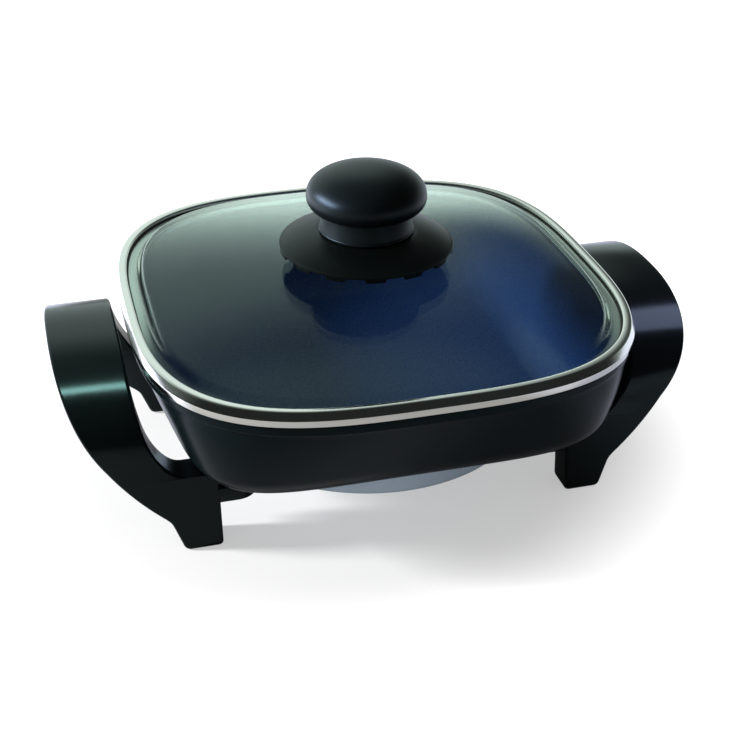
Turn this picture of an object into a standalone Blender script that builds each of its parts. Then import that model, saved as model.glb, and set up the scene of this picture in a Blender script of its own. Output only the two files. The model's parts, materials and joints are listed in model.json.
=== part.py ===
"""Small electric skillet: a square cast pan on two arched handles that are also its feet,
with a round heater under it and a lift-off glass lid with a knob.

Metres, +Z up. The origin is on the floor under the middle of the pan, +X runs to the handle
that has the socket of the heat control beside it, and the front of the skillet faces -Y.
"""
import math

import bmesh
import bpy

# Fits and shared counts
GAP = 0.0003                # between two pieces that touch
SLIP = 0.0004               # between the lid's lip and the mouth of the pan
OVERRUN = 0.001             # how far a cutter runs past what it cuts
OUTLINE_POINTS = 40         # points round the square pan and lid
CORNER_CROWD = 0.45         # how much closer those points lie at the corners
ROUND_POINTS = 28           # points round the large turned pieces
COVER_POINTS = 32           # points round the cover of the heater
TAB_POINTS = 24             # points round the handle's tabs
SMALL_POINTS = 10           # points round screws, pins and washers
ARC_STEPS = 4               # steps in a fillet
FINE_STEPS = 3              # steps in a small or thin bend
LIP_STEPS = 2
SHARP_ANGLE = math.radians(32)

# Pan
LIP_HALF = 0.107            # half the width of the pan over its lip
RIM_POWER = 3.16            # how square the pan's mouth and the lid are
BASE_POWER = 6.0            # how square the bottom of the pan is
PAN_TOP = 0.083             # height of the pan's lip above the floor
PAN_BASE = 0.0365           # height of the pan's underside above the floor
PAN_WALL = 0.0026
LIP_HEIGHT = 0.0047
LIP_STEP = 0.0015           # how far the wall lies inside the lip
LIP_EDGE = 0.0008           # radius of the lip's upper edge
WALL_TAPER = math.radians(22)
BASE_FILLET = 0.024
BOSS_BITE = 0.0018          # how far a boss reaches into the pan's bottom

# Lid
RIM_OVERHANG = 0.001        # how far the lid's rim stands out over the pan's lip
STEEL = 0.0007              # thickness of the steel rim
BEAD_RADIUS = 0.0018        # rolled upper edge of the steel rim
BEAD_END = math.radians(150)
LIP_DROP = 0.002            # how far the lid's lip reaches into the pan
SEAL = 0.0006
GLASS = 0.0026
GLASS_PLAY = 0.0004         # between the edge of the glass and its seal
FLANGE_WIDTH = 0.0085       # flat border of the glass
SHOULDER_WIDTH = 0.0065     # raised border between the flange and the dome
SHOULDER_RISE = 0.0036
DOME_RISE = 0.0085          # from the shoulder to the crown of the dome
GLASS_HOLE = 0.0042

# Knob and what holds it
KNOB_RADIUS = 0.0258
KNOB_BULGE = 0.0128         # from the widest ring of the knob to its top
KNOB_UNDERCUT = 0.0078      # from the widest ring down to the neck
KNOB_STEPS = 7
NECK_RADIUS = 0.0197
NECK_HEIGHT = 0.008
NECK_FLARE = 0.0011         # how much wider the neck is at its foot
KNOB_SHELL = 0.0042         # wall of the hollow neck
KNOB_POST = 0.0078          # radius of the post that holds the insert
SKIRT_RADIUS = 0.0382
SKIRT_THICKNESS = 0.0016
SKIRT_EDGE = 0.0006         # thickness of the skirt at its rim
SKIRT_FALL = 0.0053         # how much lower the skirt is at its rim
SKIRT_CROWN = 0.0006        # how far the skirt bulges over a straight cone
SKIRT_HUB = 0.0105
SKIRT_LIFT = 0.0099         # from the hub's foot to the plate of the skirt
TAB_COUNT = 14
TAB_DROP = 0.0016
TAB_DEPTH = 0.002
TAB_TURN = math.radians(-2.3)
INSERT_RADIUS = 0.0045
INSERT_LENGTH = 0.012
KNOB_SCREW_RADIUS = 0.0019
KNOB_SCREW_BITE = 0.0056    # how far the knob's screw reaches into the insert
SOFT_WASHER = 0.001
LID_WASHER = 0.0008
LID_WASHER_RADIUS = 0.0085
HEAD_RADIUS = 0.0042
HEAD_HEIGHT = 0.002

# Handles: an arch seen from the side, a hook seen from the front
HANDLE_SHIFT = 0.0037       # how far the handles sit behind the middle of the pan
ARCH_FOOT = 0.0637          # from the middle of the arch to the outside of a foot
LEG_LEAN = 0.0053           # how much closer the leg comes by the foot of the crown
CROWN_POWER = 2.39          # how square the crown of the arch is
CROWN_DROP = 0.0041         # from the pan's lip down to the top of the handle
SPRING_RISE = 0.0061        # from the leg's ledge up to the foot of the crown
LEG_THICKNESS = 0.0143
CROWN_THICKNESS = 0.011
FOOT_INSET = 0.0285         # how far the inside of a foot lies within the pan's lip
FOOT_WIDTH = 0.0163
FOOT_SPLAY = 0.0052         # how much wider the foot is where the hook starts
HOOK_START = 0.014          # height where the outer edge turns outwards
HOOK_BOW = 0.0062           # how far the outer edge bows out between its ends
GRIP_GAP = 0.004            # from the pan's lip to the inside of the grip
GRIP_WIDTH = 0.031
LEDGE_DROP = 0.0022         # from the pan's underside down to the leg's inner ledge
LEDGE_STEP = 0.0006
LEDGE_WIDTH = 0.0125
HANDLE_EDGE = 0.0018        # radius along the edges of the handle
FOOT_CHAMFER = 0.001
LEG_STEPS = 2
CROWN_STEPS = 12
TAB_RADIUS = 0.01           # round end of the tab under the pan
TAB_REACH = 0.0077          # from the inside of the foot in to the tab's screw
TAB_SET = 0.0134            # how far the tab's screw lies inside the face of the leg
TAB_GAP = 0.0089            # from the pan's underside down to the tab
TAB_THICKNESS = 0.008
TAB_TAIL = 0.014            # from the screw to the outer end of the tab
POCKET_COUNT = 3            # moulded hollows in the underside of the grip
POCKET_LENGTH = 0.0135
POCKET_RIB = 0.0025
POCKET_WALL = 0.0075
POCKET_ROOF = 0.0045
COUNTERBORE = 0.0048
COUNTERBORE_DEPTH = 0.0035
SCREW_RADIUS = 0.0017
SCREW_REACH = 0.0042        # how far a screw goes into its boss
SCREW_CLEARANCE = 0.0005
WASHER_RADIUS = 0.0043
WASHER = 0.0006
HANDLE_BOSS = 0.007
SPACER = 0.0008

# Heater, its cover and the socket
COVER_MARGIN = 0.0006       # between the cover and the round ends of the tabs
COVER_DEPTH = 0.0133        # from the pan's underside down to the cover's
COVER_SHEET = 0.0008
COVER_FILLET = 0.002
COVER_SCREW_INSET = 0.0105  # from the inside of the heater plate in to the cover's screws
COVER_SCREWS = 3
COVER_BOSS = 0.005
PLATE_MARGIN = 0.0102       # from the outside of the cover in to the heater plate
PLATE_HALF = 0.012          # half the width of the heater plate
PLATE_GRIP = 0.0004         # how far the plate reaches below the middle of the tube
HEATER_DROP = 0.0064        # from the pan's underside down to the middle of the tube
HEATER_TUBE = 0.0033
GROOVE_GAP = 0.0008         # between the heating tube and its groove
HEATER_LEAVES = math.radians(22.5)   # where the tube leaves its ring, from +X
HEATER_STEPS = 26
TERMINAL_SPREAD = 0.013     # from the middle to a pin
PIN_RADIUS = 0.0023
PIN_LENGTH = 0.0285
BUSH_RADIUS = 0.004
BUSH_INSET = 0.0052         # how far a bush starts inside the cover
BUSH_LENGTH = 0.011
PROBE_RADIUS = 0.0034
PROBE_BORE = 0.0025
PROBE_INSET = 0.014         # how far the sensor's sleeve starts inside the plate
PROBE_LENGTH = 0.04
PROBE_END_WALL = 0.001
GUARD_MARGIN = 0.0045       # from a bush to the outside of the guard
GUARD_HEIGHT = 0.0132
GUARD_LENGTH = 0.0245
GUARD_WALL = 0.0018
GUARD_EDGE = 0.0012
GUARD_STEPS = 2
EAR_HALF = 0.0042
EAR_REACH = 0.0013          # how far an ear's screw stands off the side of the guard
EAR_THICKNESS = 0.0025
EAR_DROP = 0.008            # from the pan's underside down to an ear
EAR_LEAD = 0.0018           # how far an ear's screw lies outside the cover
GUARD_BOSS = 0.004

# Sizes of the pan and its lid that follow from the ones above
LIP_BASE = PAN_TOP - LIP_HEIGHT
WALL_TOP_HALF = LIP_HALF - LIP_STEP
FILLET_CENTRE_Z = PAN_BASE + BASE_FILLET
TANGENT_Z = FILLET_CENTRE_Z - BASE_FILLET * math.sin(WALL_TAPER)
FILLET_CENTRE = (WALL_TOP_HALF - (LIP_BASE - TANGENT_Z) * math.tan(WALL_TAPER)
                 - BASE_FILLET * math.cos(WALL_TAPER))
MOUTH_HALF = WALL_TOP_HALF - PAN_WALL / math.cos(WALL_TAPER)
BOSS_TOP = PAN_BASE + BOSS_BITE
RIM_HALF = LIP_HALF + RIM_OVERHANG
BAND_BASE = PAN_TOP + GAP
SEAL_BASE = BAND_BASE + STEEL + GAP
SEAL_OUTSIDE = RIM_HALF - STEEL - GAP
GLASS_BASE = SEAL_BASE + SEAL + GAP
GLASS_EDGE = SEAL_OUTSIDE - SEAL - GLASS_PLAY
BEAD_Z = GLASS_BASE + GLASS + GAP - (BEAD_RADIUS - STEEL) * math.sin(BEAD_END)
CROWN_Z = GLASS_BASE + GLASS + SHOULDER_RISE + DOME_RISE
HUB_BASE = CROWN_Z + GAP + SOFT_WASHER + GAP
SKIRT_TOP = HUB_BASE + SKIRT_LIFT + SKIRT_THICKNESS
NECK_BASE = SKIRT_TOP + GAP
KNOB_WIDEST = NECK_BASE + NECK_HEIGHT + KNOB_UNDERCUT

# The same for the handles
FOOT_INNER = LIP_HALF - FOOT_INSET
FOOT_OUTER = FOOT_INNER + FOOT_WIDTH
HOOK_START_X = FOOT_OUTER + FOOT_SPLAY
LEDGE_X = FOOT_INNER + LEDGE_WIDTH
LEDGE_HEIGHT = PAN_BASE - LEDGE_DROP
GRIP_INNER = LIP_HALF + GRIP_GAP
HANDLE_REACH = GRIP_INNER + GRIP_WIDTH
HANDLE_TOP = PAN_TOP - CROWN_DROP
ARCH_SPRING = LEDGE_HEIGHT + SPRING_RISE
ARCH_SHOULDER = ARCH_FOOT - LEG_LEAN
CROWN_RISE = HANDLE_TOP - ARCH_SPRING
TAB_X = FOOT_INNER - TAB_REACH
TAB_Y = ARCH_FOOT - TAB_SET
TAB_TOP = PAN_BASE - TAB_GAP
TAB_BASE = TAB_TOP - TAB_THICKNESS
HANDLE_BOSS_BASE = TAB_TOP + GAP + SPACER + GAP

# The same for the heater and its socket
COVER_RADIUS = math.hypot(TAB_X, TAB_Y - HANDLE_SHIFT) - TAB_RADIUS - COVER_MARGIN
COVER_BASE = PAN_BASE - COVER_DEPTH
COVER_BOSS_BASE = COVER_BASE + COVER_SHEET + GAP
PLATE_OUTER = COVER_RADIUS - PLATE_MARGIN
HEATER_RING = PLATE_OUTER - PLATE_HALF
PLATE_INNER = HEATER_RING - PLATE_HALF
COVER_SCREW_RING = PLATE_INNER - COVER_SCREW_INSET
TERMINAL_HEIGHT = PAN_BASE - HEATER_DROP
GUARD_HALF_WIDTH = TERMINAL_SPREAD + BUSH_RADIUS + GUARD_MARGIN
GUARD_START = COVER_RADIUS + GAP
GUARD_BASE = PAN_BASE - GAP - GUARD_HEIGHT
GUARD_SCREW_X = COVER_RADIUS + EAR_LEAD
GUARD_SCREW_Y = GUARD_HALF_WIDTH + EAR_HALF + EAR_REACH
EAR_BASE = PAN_BASE - EAR_DROP
GUARD_BOSS_BASE = EAR_BASE + EAR_THICKNESS + GAP


def finish(name, colour, roughness, metallic=0.0):
    """A material with one plain colour."""
    material = bpy.data.materials.new(name)
    material.use_nodes = True
    shader = material.node_tree.nodes["Principled BSDF"]
    shader.inputs["Base Color"].default_value = (*colour, 1.0)
    shader.inputs["Roughness"].default_value = roughness
    shader.inputs["Metallic"].default_value = metallic
    material.diffuse_color = (*colour, 1.0)
    return material


def add_object(name, work, material):
    """Turn a bmesh into an object with its faces pointing out."""
    bmesh.ops.recalc_face_normals(work, faces=work.faces)
    mesh = bpy.data.meshes.new(name)
    work.to_mesh(mesh)
    work.free()
    mesh.shade_smooth()
    mesh.set_sharp_from_angle(angle=SHARP_ANGLE)
    if material:
        mesh.materials.append(material)
    item = bpy.data.objects.new(name, mesh)
    bpy.context.scene.collection.objects.link(item)
    return item


def join_rows(work, low, high):
    """Faces between two rings of vertices, either of which may be a single point."""
    count = max(len(low), len(high))
    for i in range(count):
        j = (i + 1) % count
        if len(low) == 1:
            work.faces.new((low[0], high[j], high[i]))
        elif len(high) == 1:
            work.faces.new((low[i], low[j], high[0]))
        else:
            work.faces.new((low[i], low[j], high[j], high[i]))


def lofted(name, rings, material, closed=False):
    """A solid skinned through rings of points. Closed joins the last ring to the first."""
    work = bmesh.new()
    rows = [[work.verts.new(point) for point in ring] for ring in rings]
    following = rows[1:] + rows[:1] if closed else rows[1:]
    for low, high in zip(rows, following):
        join_rows(work, low, high)
    if not closed:
        for row in (rows[0], rows[-1]):
            if len(row) > 1:
                work.faces.new(row)
    return add_object(name, work, material)


def outline(half, power, z):
    """Points of |x|^power + |y|^power = half^power, closer together at the corners."""
    points = []
    for i in range(OUTLINE_POINTS):
        even = 2 * math.pi * i / OUTLINE_POINTS
        angle = even + CORNER_CROWD / 4 * math.sin(4 * even)
        across, along = math.cos(angle), math.sin(angle)
        reach = half / (abs(across) ** power + abs(along) ** power) ** (1 / power)
        points.append((reach * across, reach * along, z))
    return points


def circle(radius, z, count, turn=0.0):
    """Points round the Z axis, or one point where the radius is zero."""
    if radius == 0:
        return [(0, 0, z)]
    angles = [turn + 2 * math.pi * i / count for i in range(count)]
    return [(radius * math.cos(a), radius * math.sin(a), z) for a in angles]


def turned(name, profile, material, closed=False, count=SMALL_POINTS, turn=0.0):
    """A solid of revolution about Z from (radius, z) pairs."""
    rings = [circle(radius, z, count, turn) for radius, z in profile]
    return lofted(name, rings, material, closed)


def arc(centre, radius, start, end, steps=ARC_STEPS):
    """Points on a circle from one angle to another, both ends included."""
    turns = [start + (end - start) * i / steps for i in range(steps + 1)]
    return [(centre[0] + radius * math.cos(a), centre[1] + radius * math.sin(a)) for a in turns]


def block(name, low, high, material=None):
    """A box between two corners."""
    work = bmesh.new()
    bmesh.ops.create_cube(work, size=1)
    for vertex in work.verts:
        for axis in range(3):
            vertex.co[axis] = high[axis] if vertex.co[axis] > 0 else low[axis]
    return add_object(name, work, material)


def rod(name, radius, low, high, material=None, centre=(0, 0), count=SMALL_POINTS):
    """An upright cylinder."""
    item = turned(name, [(radius, low), (radius, high)], material, count=count)
    item.location = (centre[0], centre[1], 0)
    return item


def lay_along_x(item, start, y, z):
    """Lay an upright turned piece down along +X, its foot at start."""
    item.rotation_euler = (0, math.pi / 2, 0)
    item.location = (start, y, z)
    return item


def combine(target, tool, operation):
    """Add a tool to a piece or cut it away, and hide the tool."""
    step = target.modifiers.new(operation.title() + " " + tool.name, "BOOLEAN")
    step.operation = operation
    step.solver = "EXACT"
    step.object = tool
    tool.hide_render = True
    tool.display_type = "WIRE"


def pan_power(z):
    """How square the pan is at a height: squarer towards its bottom."""
    share = min(max((z - PAN_BASE) / (LIP_BASE - PAN_BASE), 0), 1)
    return BASE_POWER + (RIM_POWER - BASE_POWER) * share


def handle_screw_places():
    """Where the four handle screws stand, with the name of each corner."""
    sides = (("left", -1), ("right", 1))
    ends = (("front", -1), ("rear", 1))
    return [(side + "_" + end, x * TAB_X, HANDLE_SHIFT + y * TAB_Y)
            for side, x in sides for end, y in ends]


def cover_screw_places():
    """Where the screws of the heater's cover stand, evenly round the middle."""
    turns = [math.pi / 2 + 2 * math.pi * i / COVER_SCREWS for i in range(COVER_SCREWS)]
    return [(COVER_SCREW_RING * math.cos(a), COVER_SCREW_RING * math.sin(a)) for a in turns]


def guard_screw_places():
    """Where the two screws of the socket's guard stand."""
    return [("front", GUARD_SCREW_X, -GUARD_SCREW_Y), ("rear", GUARD_SCREW_X, GUARD_SCREW_Y)]


def make_pan(material):
    """Cast pan with a rounded bottom, a tapered wall, a lip, and bosses under it."""
    centre = (FILLET_CENTRE, FILLET_CENTRE_Z)
    down = -math.pi / 2
    outer = arc(centre, BASE_FILLET, down, -WALL_TAPER)
    inner = arc(centre, BASE_FILLET - PAN_WALL, -WALL_TAPER, down)
    lip_centre = (LIP_HALF - LIP_EDGE, PAN_TOP - LIP_EDGE)
    lip = arc(lip_centre, LIP_EDGE, 0, math.pi / 2, LIP_STEPS)
    profile = outer + [(WALL_TOP_HALF, LIP_BASE), (LIP_HALF, LIP_BASE)] + lip
    profile += [(MOUTH_HALF, PAN_TOP), (MOUTH_HALF, LIP_BASE)] + inner
    pan = lofted("pan", [outline(half, pan_power(z), z) for half, z in profile], material)

    bosses = [(HANDLE_BOSS, HANDLE_BOSS_BASE, x, y) for name, x, y in handle_screw_places()]
    bosses += [(COVER_BOSS, COVER_BOSS_BASE, x, y) for x, y in cover_screw_places()]
    bosses += [(GUARD_BOSS, GUARD_BOSS_BASE, x, y) for name, x, y in guard_screw_places()]
    for number, (radius, base, x, y) in enumerate(bosses):
        boss = rod("boss_%d" % number, radius, base, BOSS_TOP, centre=(x, y))
        combine(pan, boss, "UNION")
        hole = rod("boss_hole_%d" % number, SCREW_RADIUS + GAP, base - OVERRUN,
                   base + SCREW_REACH + GAP, centre=(x, y))
        combine(pan, hole, "DIFFERENCE")
    return pan


def make_screw(name, x, y, seat, thickness, material):
    """A screw from below whose head lies under a seat, through some thickness into a boss."""
    top = seat + thickness + SCREW_REACH
    under = seat - HEAD_HEIGHT
    profile = [(HEAD_RADIUS - SCREW_RADIUS / 2, under), (HEAD_RADIUS, under + HEAD_HEIGHT / 2),
               (HEAD_RADIUS, seat), (SCREW_RADIUS, seat), (SCREW_RADIUS, top)]
    screw = turned(name, profile, material)
    screw.location = (x, y, 0)
    return screw


def make_washer(name, radius, hole, base, thickness, material, centre=(0, 0)):
    """A flat ring."""
    top = base + thickness
    profile = [(hole, base), (radius, base), (radius, top), (hole, top)]
    washer = turned(name, profile, material, closed=True)
    washer.location = (centre[0], centre[1], 0)
    return washer


def leg_face(z):
    """How far from the middle the outside of a leg lies at a height below the crown."""
    return ARCH_FOOT + (ARCH_SHOULDER - ARCH_FOOT) * z / ARCH_SPRING


def hook_arc_x(z):
    """X on the circle that bows out between the top of the foot and the top of the handle."""
    run, rise = HANDLE_REACH - HOOK_START_X, HANDLE_TOP - HOOK_START
    half = math.hypot(run, rise) / 2
    radius = (half * half + HOOK_BOW * HOOK_BOW) / (2 * HOOK_BOW)
    back = (radius - HOOK_BOW) / (2 * half)
    centre_x = HOOK_START_X + run / 2 - rise * back
    centre_z = HOOK_START + rise / 2 + run * back
    return centre_x + math.sqrt(radius * radius - (z - centre_z) ** 2)


def outer_edge(z):
    """Outer edge of the handle seen from the front."""
    if z < HOOK_START:
        return FOOT_OUTER + (HOOK_START_X - FOOT_OUTER) * z / HOOK_START
    return hook_arc_x(z)


def inner_edge(z):
    """Inner edge of the handle seen from the front: upright, then a ledge and an ellipse."""
    if z < LEDGE_HEIGHT:
        return FOOT_INNER
    rise = min((HANDLE_TOP - z) / (HANDLE_TOP - LEDGE_HEIGHT), 1)
    return LEDGE_X + (GRIP_INNER - LEDGE_X) * math.sqrt(1 - rise * rise)


def handle_stations():
    """(outside y, z, inside y, z) along the arch from the front foot to the rear foot."""
    heights = [FOOT_CHAMFER]
    marks = (HOOK_START, LEDGE_HEIGHT - LEDGE_STEP, LEDGE_HEIGHT, ARCH_SPRING)
    for mark in marks:
        last = heights[-1]
        steps = 1 if mark == LEDGE_HEIGHT else LEG_STEPS
        heights += [last + (mark - last) * (i + 1) / steps for i in range(steps)]
    front = [(-leg_face(z), z, LEG_THICKNESS - leg_face(z), z) for z in heights]
    inner_half = ARCH_SHOULDER - LEG_THICKNESS
    inner_rise = CROWN_RISE - CROWN_THICKNESS
    crown = []
    for i in range(1, CROWN_STEPS):
        turn = math.pi * (1 - i / CROWN_STEPS)
        across = math.copysign(abs(math.cos(turn)) ** (2 / CROWN_POWER), math.cos(turn))
        up = math.sin(turn) ** (2 / CROWN_POWER)
        crown.append((ARCH_SHOULDER * across, ARCH_SPRING + CROWN_RISE * up,
                      inner_half * across, ARCH_SPRING + inner_rise * up))
    rear = [(-y, z, -y_in, z_in) for y, z, y_in, z_in in reversed(front)]
    return front + crown + rear


def rounded_ring(corners, radius):
    """A ring through four corners, each one cut by a small arc."""
    ring = []
    for i, corner in enumerate(corners):
        before, after = corners[i - 1], corners[(i + 1) % 4]
        to_before = unit(before, corner, radius)
        to_after = unit(after, corner, radius)
        for turn in (0, math.pi / 4, math.pi / 2):
            back, ahead = 1 - math.sin(turn), 1 - math.cos(turn)
            ring.append(tuple(c + b * back + a * ahead
                              for c, b, a in zip(corner, to_before, to_after)))
    return ring


def unit(target, corner, length):
    """The step of a given length from a corner towards a target."""
    step = [t - c for t, c in zip(target, corner)]
    size = math.sqrt(sum(s * s for s in step))
    return [s / size * length for s in step]


def handle_corners(station, side, inset=0.0):
    """The four corners of the handle's section at a station."""
    y_out, z_out, y_in, z_in = station
    toward = math.copysign(inset, y_out)
    outside, inside = HANDLE_SHIFT + y_out - toward, HANDLE_SHIFT + y_in + toward
    return [(side * (inner_edge(z_out) + inset), outside, z_out),
            (side * (outer_edge(z_out) - inset), outside, z_out),
            (side * (outer_edge(z_in) - inset), inside, z_in),
            (side * (inner_edge(z_in) + inset), inside, z_in)]


def make_handle(name, side, material):
    """One arched handle with its two feet, its tabs under the pan and its moulded hollows."""
    stations = handle_stations()
    rings = [rounded_ring(handle_corners(station, side), HANDLE_EDGE) for station in stations]
    sole = (-leg_face(0), 0, LEG_THICKNESS - leg_face(0), 0)
    back = tuple(-y if i % 2 == 0 else y for i, y in enumerate(sole))
    first = rounded_ring(handle_corners(sole, side, FOOT_CHAMFER), HANDLE_EDGE - FOOT_CHAMFER)
    last = rounded_ring(handle_corners(back, side, FOOT_CHAMFER), HANDLE_EDGE - FOOT_CHAMFER)
    handle = lofted(name, [first] + rings + [last], material)

    for end in (-1, 1):
        x, y = side * TAB_X, HANDLE_SHIFT + end * TAB_Y
        label = name + ("_front" if end < 0 else "_rear")
        tab = rod(label + "_tab", TAB_RADIUS, TAB_BASE, TAB_TOP, centre=(x, y), count=TAB_POINTS)
        combine(handle, tab, "UNION")
        edges = sorted((x, x + side * TAB_TAIL))
        tail = block(label + "_tail", (edges[0], y - TAB_RADIUS + GAP, TAB_BASE + GAP),
                     (edges[1], y + TAB_RADIUS - GAP, TAB_TOP - GAP))
        combine(handle, tail, "UNION")
        bore = rod(label + "_bore", SCREW_RADIUS + SCREW_CLEARANCE, TAB_BASE - OVERRUN,
                   TAB_TOP + OVERRUN, centre=(x, y))
        combine(handle, bore, "DIFFERENCE")
        sink = rod(label + "_sink", COUNTERBORE, TAB_BASE - OVERRUN,
                   TAB_BASE + COUNTERBORE_DEPTH, centre=(x, y), count=TAB_POINTS)
        combine(handle, sink, "DIFFERENCE")

    middle = side * (GRIP_INNER + HANDLE_REACH) / 2
    half = GRIP_WIDTH / 2 - POCKET_WALL
    roof = HANDLE_TOP - POCKET_ROOF
    pitch = POCKET_LENGTH + POCKET_RIB
    for i in range(POCKET_COUNT):
        y = HANDLE_SHIFT + (i - (POCKET_COUNT - 1) / 2) * pitch
        drop = abs(i - (POCKET_COUNT - 1) / 2) * POCKET_ROOF / 2
        pocket = block("%s_pocket_%d" % (name, i),
                       (middle - half, y - POCKET_LENGTH / 2, ARCH_SPRING),
                       (middle + half, y + POCKET_LENGTH / 2, roof - drop))
        combine(handle, pocket, "DIFFERENCE")
    return handle


def make_handle_fixings(places, steel, mica):
    """A screw, a washer and a heat-proof spacer at each of the four tabs."""
    for corner, x, y in places:
        washer_base = TAB_BASE + COUNTERBORE_DEPTH - GAP - WASHER
        seat = washer_base - GAP
        through = HANDLE_BOSS_BASE - seat
        make_screw("handle_screw_" + corner, x, y, seat, through, steel)
        make_washer("handle_washer_" + corner, WASHER_RADIUS, SCREW_RADIUS + GAP,
                    washer_base, WASHER, steel, (x, y))
        make_washer("handle_spacer_" + corner, HANDLE_BOSS, SCREW_RADIUS + SCREW_CLEARANCE,
                    TAB_TOP + GAP, SPACER, mica, (x, y))


def make_heater_plate(material):
    """Cast ring that presses the heating tube to the pan, grooved below and open at +X."""
    top = PAN_BASE - GAP
    base = TERMINAL_HEIGHT - PLATE_GRIP
    groove = HEATER_TUBE + GROOVE_GAP
    roof = arc((HEATER_RING, TERMINAL_HEIGHT), groove, math.pi, 0, ARC_STEPS + 1)
    profile = [(PLATE_INNER, top), (PLATE_INNER, base), (HEATER_RING - groove, base)] + roof
    profile += [(HEATER_RING + groove, base), (PLATE_OUTER, base), (PLATE_OUTER, top)]
    plate = turned("heater_plate", profile, material, closed=True, count=ROUND_POINTS)
    slot = block("plate_slot", (0, -HEATER_RING * math.sin(HEATER_LEAVES), base - OVERRUN),
                 (PLATE_OUTER + OVERRUN, HEATER_RING * math.sin(HEATER_LEAVES), top + OVERRUN))
    combine(plate, slot, "DIFFERENCE")
    return plate


def heater_route():
    """Centre line of the heating tube: most of a circle, then two ends along +X."""
    leave = HEATER_LEAVES
    turns = [leave + (2 * math.pi - 2 * leave) * i / HEATER_STEPS for i in range(HEATER_STEPS + 1)]
    ring = [(HEATER_RING * math.cos(a), HEATER_RING * math.sin(a)) for a in turns]
    start = ring[0]
    run = (start[1] - TERMINAL_SPREAD) / math.cos(leave)
    bend = (start[0] + run * math.sin(leave), TERMINAL_SPREAD)
    end = (PLATE_OUTER - GAP, TERMINAL_SPREAD)
    tail = []
    for i in range(ARC_STEPS, 0, -1):
        t = i / ARC_STEPS
        tail.append(tuple((1 - t) ** 2 * s + 2 * t * (1 - t) * b + t * t * e
                          for s, b, e in zip(start, bend, end)))
    mirrored = [(x, -y) for x, y in reversed(tail)]
    return [(x, y, TERMINAL_HEIGHT) for x, y in tail + ring + mirrored]


def make_heating_element(material):
    """Sheathed heating tube as a curve with a round section."""
    curve = bpy.data.curves.new("heating_element", "CURVE")
    curve.dimensions = "3D"
    curve.bevel_depth = HEATER_TUBE
    curve.bevel_resolution = 1
    curve.use_fill_caps = True
    curve.render_resolution_u = 0
    route = heater_route()
    spline = curve.splines.new("POLY")
    spline.points.add(len(route) - 1)
    for point, place in zip(spline.points, route):
        point.co = (*place, 1)
    curve.materials.append(material)
    item = bpy.data.objects.new("heating_element", curve)
    bpy.context.scene.collection.objects.link(item)
    return item


def make_heat_cover(material):
    """Pressed dish that closes the heater from below, with a notch for the terminals."""
    top = PAN_BASE - GAP
    centre = (COVER_RADIUS - COVER_FILLET, COVER_BASE + COVER_FILLET)
    down = -math.pi / 2
    outer = arc(centre, COVER_FILLET, down, 0, FINE_STEPS)
    inner = arc(centre, COVER_FILLET - COVER_SHEET, 0, down, FINE_STEPS)
    profile = outer + [(COVER_RADIUS, top), (COVER_RADIUS - COVER_SHEET, top)] + inner
    cover = turned("heat_cover", profile, material, count=COVER_POINTS)
    notch = block("cover_notch", (PLATE_OUTER, -GUARD_HALF_WIDTH, TERMINAL_HEIGHT - BUSH_RADIUS - GAP),
                  (COVER_RADIUS + OVERRUN, GUARD_HALF_WIDTH, top + OVERRUN))
    combine(cover, notch, "DIFFERENCE")
    for number, (x, y) in enumerate(cover_screw_places()):
        hole = rod("cover_hole_%d" % number, SCREW_RADIUS + GAP, COVER_BASE - OVERRUN,
                   COVER_BOSS_BASE + OVERRUN, centre=(x, y))
        combine(cover, hole, "DIFFERENCE")
    return cover


def make_terminals(steel, ceramic):
    """Two pins with their ceramic bushes, and the sleeve that takes the heat sensor."""
    for label, y in (("front", -TERMINAL_SPREAD), ("rear", TERMINAL_SPREAD)):
        nose = PIN_RADIUS / 2
        profile = [(PIN_RADIUS, 0), (PIN_RADIUS, PIN_LENGTH - nose), (nose, PIN_LENGTH)]
        pin = turned("terminal_pin_" + label, profile, steel)
        lay_along_x(pin, PLATE_OUTER, y, TERMINAL_HEIGHT)
        bush = make_washer("ceramic_bush_" + label, BUSH_RADIUS, PIN_RADIUS + GAP, 0,
                           BUSH_LENGTH, ceramic)
        lay_along_x(bush, COVER_RADIUS - BUSH_INSET, y, TERMINAL_HEIGHT)
    profile = [(PROBE_RADIUS, 0), (PROBE_RADIUS, PROBE_LENGTH), (PROBE_BORE, PROBE_LENGTH),
               (PROBE_BORE, PROBE_END_WALL)]
    sleeve = turned("probe_sleeve", profile, steel)
    lay_along_x(sleeve, PLATE_OUTER - PROBE_INSET, 0, TERMINAL_HEIGHT)


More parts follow.
